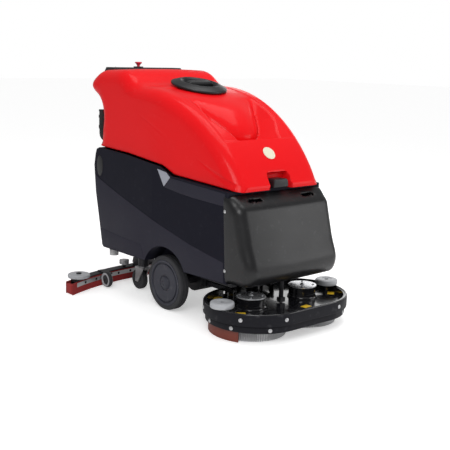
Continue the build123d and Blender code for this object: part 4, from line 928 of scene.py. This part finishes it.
@dataclass
class LowerBody:
    """The slate tub: the frame's own tub with raised flanks, a seam band and seam facets painted lighter as
    highlight, and rear caps.
    """

    rear_half_width: float = 298.0
    nose_half_width: float = 268.0
    bend_along: float = 60.0
    taper_length: float = 490.0
    proud: float = 1.5
    arch_centre: Point2 = (-25.0, 150.0)
    arch_radius: float = 153.0

    def side_at(self, along: float) -> float:
        """The tub's half width at a place along it.

        Args:
            along: the place.

        Returns:
            The half width there.
        """
        slope = (self.rear_half_width - self.nose_half_width) / self.taper_length
        return self.rear_half_width - max(0.0, self.bend_along - along) * slope

    def _plate(self, outline: Sequence[Point2], proud: float, sunk: float = 3.0,
               round_edge: float = 2.0) -> Mesh:
        """A plate that lies on the left flank and follows its bend.

        Args:
            outline: (along, height) points.
            proud: how far it stands out.
            sunk: how far it goes in.
            round_edge: how wide its rounding is.

        Returns:
            The plate on the machine's left.
        """
        plate = prism(outline, 0.0, proud + sunk, Axis.X)
        bmesh.ops.bisect_plane(plate, geom=plate.verts[:] + plate.edges[:] + plate.faces[:],
                               plane_co=(0, self.bend_along, 0), plane_no=(0, 1, 0), dist=0.01)
        rim = [edge for edge in plate.edges if edge.is_manifold and edge.calc_face_angle(0.0) > 0.8
               and min(vertex.co.x for vertex in edge.verts) > proud + sunk - 0.1]
        bmesh.ops.bevel(plate, geom=rim, offset=round_edge, affect="EDGES", segments=3, profile=0.5,
                        material=-1, clamp_overlap=True)
        for vertex in plate.verts:
            vertex.co.x += self.side_at(vertex.co.y) - sunk
        return plate

    def flank_outline(self) -> list[Point2]:
        """The lighter lower flank, below a line that falls from the rear corner to the nose.

        Returns:
            The (along, height) points.
        """
        swoop = [(526, 562), (486, 545), (327, 493), (136, 437), (-34, 388), (-202, 343), (-315, 320),
                 (-408, 303)]
        arch = [(self.arch_centre[0] + self.arch_radius * math.cos(turn),
                 self.arch_centre[1] + self.arch_radius * math.sin(turn))
                for turn in np.linspace(math.radians(154.8), math.radians(25.2), 26)]
        return swoop + [(-412, 216)] + arch + [(460, 216), (471, 224), (493, 331), (526, 484)]

    def tuck_outline(self) -> list[Point2]:
        """The shallow raised skirt along the flank's foot, behind the wheel.

        Returns:
            The (along, height) points.
        """
        return [(487, 306), (412, 300), (274, 289), (146, 282), (128, 250), (120, 222), (456, 222),
                (467, 229)]

    def make(self) -> None:
        """Builds the flanks, the seam band and facets with their painted highlight, and the caps on both
        sides.
        """
        flank, tuck = self.flank_outline(), self.tuck_outline()
        # The seam facet is a thin plate painted pale grey as a highlight, where light catches the facet under
        # the seam's step.
        facet = [(24, 650), (-38, 640), (-64, 620), (-22, 576)]
        # The seam band is a raised strip painted in the lighter flank colour as a highlight, for the light
        # band under the seam near the front.
        band = [(-66, 618), (-24, 574), (-130, 559), (-214, 551), (-396, 541), (-410, 545), (-410, 594)]
        cap = [(490 + 26 * math.cos(turn), 612 + 50 * math.sin(turn))
               for turn in np.linspace(0, 2 * math.pi, 29)[:-1]]
        plates = (("flank", flank, self.proud, SWOOSH, 6.0),
                  ("flank_tuck", tuck, self.proud + 1.6, SWOOSH, 2.5),
                  ("seam_facet", facet, 1.2, HIGHLIGHT_FACET, 1.0), ("seam_band", band, 1.6, SWOOSH, 1.4),
                  ("rear_cap", cap, 1.6, BLACK, 1.4))
        for side, word in SIDES:
            for name, outline, proud, finish, edge in plates:
                plate = self._plate(outline, proud, 3.0, edge)
                finish_piece(plate if side > 0 else mirrored(plate), f"{name}_{word}", finish, "chassis")


@dataclass
class FrontCover:
    """The black cover wrapped round the nose, with a bevelled brow and two slits."""

    shoulder: float = 44.0
    half_width_rear: float = 277.0
    half_width_front: float = 270.0
    wall: float = 4.0
    bow: float = 7.0
    slit_front: float = -475.5
    slit_rear: float = -461.5
    slit_inner: float = 118.0
    slit_outer: float = 190.0
    slit_low: float = 0.50
    slit_high: float = 0.82
    back_opening: float = 262.0
    foot_opening: float = 226.0

    def half_width(self, along: np.ndarray) -> np.ndarray:
        """The plan taper of the cover.

        Args:
            along: places along the machine.

        Returns:
            The half width at each.
        """
        share = smoothstep((-along - 430.0) / 150.0)
        return self.half_width_rear - (self.half_width_rear - self.half_width_front) * share

    def make(self) -> None:
        """Builds the shell."""
        brow = [(-438, 588), (-462, 570.5)]
        slit = [(-462, 570.5), (-475, 560.5)]
        rest = [(-475, 560.5), (-494, 546)] + arc_points((-496, 544), (-505, 533), (-510, 516), 5)
        face = [(-510, 514), (-546, 384), (-548, 378), (-575, 312)]
        face += arc_points((-577, 300), (-578, 272), (-569, 246), 7)
        under = [(-566, 241), (-550, 222), (-534, 216.5), (-450, 215), (-428, 215)]
        top, back = [(-406, 588), (-438, 588)], [(-428, 215), (-406, 588)]
        outline, radii = resampled([(top, 8.0, 30.0), (brow, 6.0, 34.0), (slit, 6.5, 38.0),
                                    (rest, 7.0, self.shoulder), (face, 9.0, self.shoulder),
                                    (under, 9.0, 36.0), (back, 14.0, 3.0)], 2)
        slots = list(np.linspace(self.slit_low, self.slit_high, 10))
        half = list(np.linspace(0, 0.48, 13)) + slots + list(np.linspace(0.87, 1.0, 5))
        columns = [-value for value in reversed(half[1:])] + half
        form = MouldedForm(outline, radii, (-478.0, 400.0), self.half_width, columns, 8, 5)
        mesh, across, _ = form.build()
        doomed = []
        for piece in mesh.faces:
            middle = piece.calc_center_median()
            slit_row = self.slit_front < middle.y < self.slit_rear and middle.z > 540
            if slit_row and self.slit_inner < abs(middle.x) < self.slit_outer:
                doomed.append(piece)
            open_back = middle.y > -428.5 and 216.5 < middle.z < 587 and abs(middle.x) < self.back_opening
            open_foot = middle.z < 232 and middle.y > -530 and abs(middle.x) < self.foot_opening
            if open_back or open_foot:
                doomed.append(piece)
        for number, vertex in enumerate(mesh.verts):
            if vertex.co.y < -440:
                share = float(smoothstep((-vertex.co.y - 440) / 60.0))
                vertex.co.y -= self.bow * (0.6 - min(1.0, abs(across[number])) ** 2) * share
        bmesh.ops.delete(mesh, geom=doomed, context="FACES")
        face_outwards(mesh, Vector((0, -1, 0)), 500.0)
        made = finish_piece(mesh, "front_shell", COVER, "chassis", ("front_cover",), 50.0,
                            False)
        thicken(made, self.wall)
        screws = []
        for side in (-1, 1):
            for along, height in ((-418, 522), (-426, 272)):
                screws.append(bolt((side * 276.2, along, height), Vector((side, 0, 0)), 7.5, 5.4, 4.2))
        finish_piece(joined(screws), "cover_bolts", STEEL, "chassis", ("cover_screws",), 38.0,
                     False)


@dataclass
class Controls:
    """The stop button and the ribs of the drain hose."""

    stop_at: Point3 = (-30.0, 552.0, 1086.0)

    def make(self) -> None:
        """Builds the button and the ribs."""
        stop = turned([(0, -4), (7.5, -4), (7.5, 6.4), (9.4, 7.6), (10.4, 10), (12.5, 13), (17.2, 16),
                       (18, 18), (17.8, 21), (15, 22.6), (0, 23)], self.stop_at, Axis.Z, 40)
        finish_piece(stop, "stop_mushroom", SIGNAL, "stop_button", ("emergency_stop",), 35.0,
                     False)
        ribs: list[Point2] = [(13.5, 782)]
        height = 782.0
        while height < 850:
            ribs += [(17.2, height), (18.6, height + 1.2), (18.6, height + 2.6), (17.2, height + 3.8)]
            height += 5.0
        ribs += [(17.2, height), (13.5, height), (13.5, 782)]
        sleeve = turned(ribs, (-242, 550, 0), Axis.Z, 40)
        finish_piece(sleeve, "hose_ribs", HOSE, "tank", (), 60.0)


@dataclass
class DriveWheels:
    """The two drive wheels: a grooved disc with a hub cap, and a tyre with round shoulders."""

    radius: float = 126.0
    inner: float = 220.0
    outer: float = 270.0
    rim: float = 106.0
    height: float = 126.0

    def make(self) -> None:
        """Builds both wheels."""
        low, high, rim, wide = self.inner, self.outer, self.rim, self.radius
        disc = [(0, 208), (22, 208), (22, low + 3), (rim - 8, low + 3), (rim - 4, low), (rim, low + 2),
                (rim, high - 2), (rim - 3, high), (rim - 10, high), (rim - 12, high - 2),
                (rim - 14, high - 8), (rim - 18, high - 8), (rim - 20, high - 2.5), (rim - 23, high - 1.5),
                (50, high - 3.5), (38, high - 4.5), (35, high - 8), (31, high - 8), (29, high - 3),
                (26, high - 0.5), (22, high + 1.4), (12, high + 2), (11, high + 0.6), (7, high + 0.6),
                (6, high + 1.8), (0, high + 2)]
        tyre = [(rim, low + 3), (rim + 5, low), (wide - 7, low + 0.5), (wide - 2, low + 4), (wide, low + 9)]
        for groove in (low + 16, low + 30):
            tyre += [(wide, groove), (wide - 2.2, groove + 0.6), (wide - 2.2, groove + 3),
                     (wide, groove + 3.6)]
        tyre += [(wide, high - 9), (wide - 2, high - 4), (wide - 7, high - 0.8), (wide - 12, high),
                 (rim + 5, high), (rim, high - 3), (rim, low + 3)]
        for side, word in SIDES:
            for name, profile, finish, slot, node in (("disc", disc, WHEEL, "wheel_grey", "drive_wheel"),
                                                      ("tread", tyre, TYRE, "tyre_rubber", "tyre")):
                piece = turned(profile, (0, 0, self.height), Axis.X, 96)
                piece = piece if side > 0 else mirrored(piece)
                finish_piece(piece, f"{name}_{word}", finish, f"wheel_{word}", (f"{node}_{word}",),
                             32.0)


@dataclass
class SmallWheels:
    """Caster wheels and the squeegee's support wheels."""

    def wheel(self, radius: float, width: float, hub: float) -> list[Point2]:
        """The section of a moulded wheel with a raised hub.

        Args:
            radius: the wheel's radius.
            width: its width.
            hub: the hub's radius.

        Returns:
            The closed section.
        """
        half = width / 2
        side = [(hub * 0.35, half + 0.5), (hub, half), (hub + 2, half - 3), (radius * 0.66, half - 4),
                (radius * 0.72, half - 1), (radius - 6, half), (radius - 2, half - 1.5), (radius, half - 5)]
        return side + [(r, -h) for r, h in reversed(side)] + [side[0]]

    def make(self) -> None:
        """Builds the four small wheels."""
        for _, word in SIDES:
            caster_low, caster_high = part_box(f"caster_wheel_{word}")
            middle = (caster_low + caster_high) / 2 / MM
            piece = turned(self.wheel(50, 30, 16), (middle.x, middle.y - AXLE_TO_FRAME, middle.z), Axis.X, 56)
            finish_piece(piece, f"caster_tread_{word}", TYRE, f"caster_{word}",
                         (f"caster_wheel_{word}",), 32.0)
            low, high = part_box(f"support_wheel_{word}")
            middle = (low + high) / 2 / MM
            spot = (middle.x, middle.y - AXLE_TO_FRAME, middle.z)
            tread = turned(self.wheel(38, 22, 15), spot, Axis.X, 48)
            finish_piece(tread, f"support_tread_{word}", TYRE, f"support_{word}",
                         (f"support_wheel_{word}",), 32.0)
            for face in (-1, 1):
                ring = turned([(24, 8.5), (34, 8.5), (35, 11.2), (33, 11.8), (26, 11.4), (24, 8.5)], spot,
                              Axis.X, 48)
                if face < 0:
                    bmesh.ops.translate(ring, vec=(-spot[0], 0, 0), verts=ring.verts)
                    ring = mirrored(ring)
                    bmesh.ops.translate(ring, vec=(spot[0], 0, 0), verts=ring.verts)
                finish_piece(ring, f"support_rim_{word}_{'in' if face < 0 else 'out'}", ROLLER,
                             f"support_{word}", (), 32.0)


@dataclass
class BrushDeck:
    """Bands, bolts, motors, brushes, corner rollers and labels of the scrub deck."""

    lobe: float = 118.0
    along: float = -457.0
    radius: float = 229.0
    strap_radius: float = 219.0
    brush_x: float = 155.0
    brush_along: float = -462.0
    tuft_splay: float = 13.0
    tuft_height: float = 61.0
    roller_at: Point2 = (315.0, -461.0)
    arm_x: float = 110.0
    arm_gap: float = 11.0
    gap_floor: float = 100.0

    def bands(self) -> None:
        """The upper bumper band and the lower strap, with soft edges."""
        band = ring_profile(self.radius - 8, self.radius, 78, 127.5, 3.2)
        lip = ring_profile(self.radius - 11, self.radius - 1.5, 121, 130.5, 3.6)
        finish_piece(self._arm_gaps(stadium(band, self.lobe, self.along), False), "deck_band", BAND, "deck",
                     ("bumper_band",), 50.0)
        finish_piece(self._arm_gaps(stadium(lip, self.lobe, self.along), True), "deck_lip", GLOSS, "deck",
                     (), 50.0)
        strap = ring_profile(213.3, self.strap_radius, 48, 76, 2.2)
        finish_piece(stadium(strap, self.lobe, self.along), "deck_strap", BAND, "deck",
                     ("skirt_strap",), 50.0)

    def _arm_gaps(self, mesh: Mesh, through: bool) -> Mesh:
        """Opens a rear band where the link arms pass.

        Args:
            mesh: the band.
            through: whether the whole section goes, or only what stands above the gap's floor.

        Returns:
            The same band with its two gaps.
        """
        low, high = self.arm_x - self.arm_gap, self.arm_x + self.arm_gap
        rear = self.along + self.radius - 14
        for side in (-1, 1):
            for x in (low - 0.8, low, high, high + 0.8):
                behind = [face for face in mesh.faces if face.calc_center_median().y > rear]
                geometry = list({item for face in behind for item in (*face.verts, *face.edges)}) + behind
                bmesh.ops.bisect_plane(mesh, geom=geometry, plane_co=(side * x, 0, 0), plane_no=(1, 0, 0),
                                       dist=0.01)
        if through:
            doomed = [face for face in mesh.faces if (middle := face.calc_center_median()).y > rear
                      and low < abs(middle.x) < high]
            bmesh.ops.delete(mesh, geom=doomed, context="FACES")
            bmesh.ops.holes_fill(mesh, edges=[edge for edge in mesh.edges if edge.is_boundary], sides=0)
            return mesh
        for vertex in mesh.verts:
            if vertex.co.y > rear and low - 0.1 < abs(vertex.co.x) < high + 0.1:
                vertex.co.z = min(vertex.co.z, self.gap_floor)
        return mesh

    def bolts(self) -> None:
        """The bright screws round the band and the strap."""
        heads = []
        for side in (-1, 1):
            for angles, radius, height in (((150, 211, 260), self.radius, 104),
                                           ((165, 199.5, 242.5), self.strap_radius, 61)):
                for angle in angles:
                    turn = math.radians(angle)
                    outward = Vector((-side * math.cos(turn), math.sin(turn), 0))
                    spot = Vector((side * self.lobe, self.along, height)) + outward * radius
                    heads.append(bolt(tuple(spot), outward))
        finish_piece(joined(heads), "deck_bolts", STEEL, "deck", ("deck_screws",), 38.0,
                     False)

    def motors(self) -> None:
        """The two motor cans with their bright cover plates."""
        cans, plates = [], []
        for side in (-1, 1):
            spot = (side * self.brush_x, self.brush_along, 0)
            can = [(0, 99.5), (66, 99.5), (66, 104), (61.5, 105.5), (60, 108), (60, 120), (59, 121),
                   (59, 123), (60, 124), (60, 146), (61.5, 147), (61.5, 150.5), (0, 150.5)]
            cans.append(turned(can, spot, Axis.Z, 64))
            plates.append(turned([(0, 150), (62, 150), (63.5, 151), (63.8, 154), (62.6, 155.6), (56, 156.2),
                                  (0, 156.4)], spot, Axis.Z, 72))
            plates.append(bolt((spot[0], spot[1], 156.3), Vector((0, 0, 1)), 11.0, 8.0, 6.0))
            for turn in map(math.radians, (45, 135, 225, 315)):
                place = (spot[0] + 48 * math.cos(turn), spot[1] + 48 * math.sin(turn), 156.0)
                plates.append(bolt(place, Vector((0, 0, 1)), 5.5, 4.0, 3.4))
        finish_piece(joined(cans), "motor_cans", GLOSS, "deck", ("brush_motors",), 34.0, False)
        finish_piece(joined(plates), "motor_plates", CHROME, "deck", (), 34.0, False)

    def brushes(self) -> None:
        """The two disc brushes: a back plate and rows of tufts."""
        rows = ((150.0, 128), (138.0, 112), (126.0, 96))
        reach = math.hypot(self.tuft_splay, self.tuft_height)
        tilt = Matrix.Rotation(-math.atan2(self.tuft_splay, self.tuft_height), 4, "Y")
        for side, word in SIDES:
            disc = turned([(0, 60), (134, 60), (138, 62), (138, 73), (135, 76), (70, 76), (66, 79), (0, 79)],
                          (0, 0, 0), Axis.Z, 72)
            tufts = bmesh.new()
            for row, (foot, count) in enumerate(rows):
                for number in range(count):
                    turn = 2 * math.pi * (number + 0.5 * (row % 2)) / count
                    lean = 0.6 * math.sin(7.0 * number + 3 * row)
                    middle = Matrix.Translation((foot - self.tuft_splay / 2, lean, 31.0))
                    place = Matrix.Rotation(turn, 4, "Z") @ middle @ tilt
                    bmesh.ops.create_cone(tufts, cap_ends=True, cap_tris=False, segments=6, radius1=2.9,
                                          radius2=1.9, depth=reach, matrix=place)
            lowest = min(vertex.co.z for vertex in tufts.verts)
            bmesh.ops.translate(tufts, vec=(0, 0, -lowest), verts=tufts.verts)
            for mesh in (disc, tufts):
                bmesh.ops.translate(mesh, vec=(side * self.brush_x, self.brush_along, 0), verts=mesh.verts)
            finish_piece(disc, f"brush_disc_{word}", BLACK, f"brush_{word}",
                         (f"brush_{word}",), 34.0, False)
            finish_piece(tufts, f"brush_tufts_{word}", BRISTLE, f"brush_{word}", (), 40.0,
                         False)

    def rollers(self) -> None:
        """The pale rollers on the deck's two corners."""
        profile = [(9, 131), (42, 131), (49, 133), (51, 137), (51, 150), (49.5, 154), (45, 156.6),
                   (30, 157.4), (26, 156.6), (22, 154.5), (16, 154.2), (9, 154.2), (9, 131)]
        for side, word in SIDES:
            piece = turned(profile, (side * self.roller_at[0], self.roller_at[1], 0), Axis.Z, 72)
            finish_piece(piece, f"corner_roller_{word}", ROLLER, f"roller_{word}",
                         (f"deck_roller_{word}",), 34.0)

    def labels(self) -> None:
        """Four plain yellow labels on the pan."""
        made = []
        for x, along, turn in ((-170, -258, 12), (-244, -497, -35), (55, -585, 6), (300, -505, 40)):
            label = block((-21, -15, 100.0), (21, 15, 100.9), 0.35)
            bmesh.ops.rotate(label, verts=label.verts, cent=(0, 0, 0),
                             matrix=Matrix.Rotation(math.radians(turn), 3, "Z"))
            bmesh.ops.translate(label, vec=(x, along, 0), verts=label.verts)
            made.append(label)
        finish_piece(joined(made), "deck_labels", LABEL, "deck", (), 38.0, False)

    def make(self) -> None:
        """Builds the deck's pieces."""
        self.bands()
        self.bolts()
        self.motors()
        self.brushes()
        self.rollers()
        self.labels()


@dataclass
class Squeegee:
    """End rollers, clamp bolts, knobs and red tips of the squeegee."""

    arc: float = 1130.0
    apex: float = 582.0
    depth: float = 48.0
    roller_x: float = 413.0
    knob_x: float = 96.0

    def along(self, x: float) -> float:
        """Where the squeegee's middle lies at one x.

        Args:
            x: the place across the machine.

        Returns:
            The place along it.
        """
        return self.apex - self.arc + math.sqrt(self.arc ** 2 - x ** 2)

    def make(self) -> None:
        """Builds the squeegee's detailed pieces."""
        roller = [(9, 66), (45, 66), (52, 67.5), (54, 70)]
        for groove in (71.5, 77.0):
            roller += [(54, groove), (52.6, groove + 0.7), (52.6, groove + 2.5), (54, groove + 3.2)]
        roller += [(53.4, 82.4), (50, 84), (38, 84), (35, 82), (20, 82), (18, 84), (9, 84), (9, 66)]
        for side, word in SIDES:
            piece = turned(roller, (side * self.roller_x, self.along(self.roller_x), 0), Axis.Z, 72)
            finish_piece(piece, f"tip_roller_{word}_wheel", ROLLER, f"tip_roller_{word}",
                         (f"end_roller_{word}",), 30.0)
        heads = []
        for x in range(-400, 401, 80):
            middle = math.asin(x / self.arc)
            for face, sign in ((self.arc - self.depth / 2 - 6.2, -1), (self.arc + self.depth / 2 + 6.2, 1)):
                outward = Vector((sign * math.sin(middle), sign * math.cos(middle), 0))
                spot = (face * math.sin(middle), self.apex - self.arc + face * math.cos(middle), 42.0)
                heads.append(bolt(spot, outward, 6.5, 4.4, 3.6))
        finish_piece(joined(heads), "clamp_bolts", DARK_STEEL, "squeegee", (), 38.0, False)
        tips = []
        for side in (-1, 1):
            low, high = sorted((side * 470.0, side * 486.0))
            tips.append(block((low, self.along(478) - 23, 0.6), (high, self.along(478) + 23, 49.0), 3.0))
        finish_piece(joined(tips), "squeegee_tips", LIP_RED, "squeegee", (), 38.0, False)
        knobs = []
        for side in (-1, 1):
            x, along = side * self.knob_x, self.along(self.knob_x)
            core = [(0, 72), (16.5, 72), (18, 74), (18, 95), (15.5, 98), (0, 99)]
            wing = [(0, 73), (10.5, 73), (12, 75), (12, 93), (10, 96.4), (0, 97)]
            knobs.append(turned(core, (x, along, 0), Axis.Z, 40))
            for turn in map(math.radians, (0, 120, 240)):
                spot = (x + 15 * math.cos(turn), along + 15 * math.sin(turn), 0)
                knobs.append(turned(wing, spot, Axis.Z, 28))
        finish_piece(joined(knobs), "squeegee_knobs", KNOB, "squeegee", (), 38.0, False)


PARTS = (RecoveryTank, TankLid, LowerBody, FrontCover, Controls, DriveWheels, SmallWheels, BrushDeck,
         Squeegee)


@dataclass
class Stage:
    """The pale floor, the soft lights and the camera."""

    eye: Point3 = (-2.5265, -3.0033, 1.1517)
    right: Point3 = (0.75785, -0.65198, 0.02424)
    up: Point3 = (0.10965, 0.16391, 0.98036)
    lens: float = 68.05
    sensor: float = 36.0
    soft_light: float = 0.60
    reflected: float = 0.5
    floor_half_side: float = 30.0
    floor_glow: float = 0.42

    def camera(self) -> None:
        """Puts the camera where the machine is seen from."""
        data = bpy.data.cameras.new("eye")
        data.lens, data.sensor_width = self.lens, self.sensor
        made = bpy.data.objects.new("eye", data)
        right, up = Vector(self.right).normalized(), Vector(self.up)
        back = right.cross(up).normalized()
        up = back.cross(right).normalized()
        turn = Matrix((right, up, back)).transposed().to_4x4()
        made.matrix_world = Matrix.Translation(self.eye) @ turn
        bpy.context.scene.collection.objects.link(made)
        bpy.context.scene.camera = made

    def light(self, name: str, spot: Point3, aim: Point3, size: float, power: float) -> None:
        """Adds one soft panel.

        Args:
            name: the light's name.
            spot: where it hangs, in metres.
            aim: what it points at.
            size: its side.
            power: its strength in watts.
        """
        data = bpy.data.lights.new(name, "AREA")
        data.shape, data.size, data.energy = "SQUARE", size, power
        made = bpy.data.objects.new(name, data)
        made.location = spot
        made.rotation_euler = (Vector(aim) - Vector(spot)).to_track_quat("-Z", "Y").to_euler()
        bpy.context.scene.collection.objects.link(made)

    def floor(self) -> None:
        """Lays the floor."""
        mesh = bmesh.new()
        bmesh.ops.create_grid(mesh, x_segments=1, y_segments=1, size=self.floor_half_side)
        data = bpy.data.meshes.new("floor")
        mesh.to_mesh(data)
        mesh.free()
        paint = bpy.data.materials.new("floor_white")
        paint.use_nodes = True
        shader = paint.node_tree.nodes["Principled BSDF"]
        shader.inputs["Base Color"].default_value = (0.97, 0.97, 0.97, 1.0)
        shader.inputs["Roughness"].default_value = 0.85
        shader.inputs["Emission Color"].default_value = (1.0, 1.0, 1.0, 1.0)
        path = paint.node_tree.nodes.new("ShaderNodeLightPath")
        glow = paint.node_tree.nodes.new("ShaderNodeMath")
        glow.operation = "MULTIPLY"
        glow.inputs[1].default_value = self.floor_glow
        paint.node_tree.links.new(path.outputs["Is Camera Ray"], glow.inputs[0])
        paint.node_tree.links.new(glow.outputs["Value"], shader.inputs["Emission Strength"])
        data.materials.append(paint)
        made = bpy.data.objects.new("floor", data)
        bpy.context.scene.collection.objects.link(made)

    def room(self) -> None:
        """Surrounds the machine with white, dimmer in its reflections than behind it."""
        world = bpy.data.worlds.new("room")
        bpy.context.scene.world = world
        world.use_nodes = True
        nodes, links = world.node_tree.nodes, world.node_tree.links
        back = nodes["Background"]
        back.inputs["Color"].default_value = (1.0, 1.0, 1.0, 1.0)
        path = nodes.new("ShaderNodeLightPath")
        strength = nodes.new("ShaderNodeMapRange")
        strength.inputs["To Min"].default_value = self.soft_light
        strength.inputs["To Max"].default_value = 1.0
        links.new(path.outputs["Is Camera Ray"], strength.inputs["Value"])
        gloss = nodes.new("ShaderNodeMapRange")
        gloss.inputs["To Min"].default_value = 1.0
        gloss.inputs["To Max"].default_value = self.reflected
        links.new(path.outputs["Is Glossy Ray"], gloss.inputs["Value"])
        product = nodes.new("ShaderNodeMath")
        product.operation = "MULTIPLY"
        links.new(strength.outputs["Result"], product.inputs[0])
        links.new(gloss.outputs["Result"], product.inputs[1])
        links.new(product.outputs["Value"], back.inputs["Strength"])

    def make(self) -> None:
        """Sets the stage."""
        self.room()
        bpy.context.scene.view_settings.view_transform = "Standard"
        self.light("front_panel", (-2.6, -2.4, 3.0), (0.0, -0.1, 0.6), 1.6, 52.0)
        self.light("top_panel", (0.4, -0.2, 3.4), (0.0, 0.0, 0.6), 2.2, 40.0)
        self.light("right_panel", (2.3, -2.7, 1.15), (0.0, -0.4, 0.45), 1.7, 20.0)
        self.light("far_panel", (3.0, 1.9, 1.3), (0.0, 0.0, 0.7), 2.0, 16.0)
        self.floor()
        self.camera()


def dress_frame() -> None:
    """Gives every node of the frame its finish."""
    for finish, names in NODE_FINISHES.items():
        for node in names.split():
            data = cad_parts[node].data
            for number in range(len(data.materials)):
                data.materials[number] = finish.material()
            if not data.materials:
                data.materials.append(finish.material())


def main() -> None:
    """Builds the machine's looks, sub-assembly by sub-assembly."""
    logging.basicConfig(level=logging.INFO, format="%(name)s %(message)s")
    dress_frame()
    for part in PARTS:
        part().make()
    Stage().make()


if __name__ == "__main__":
    main()
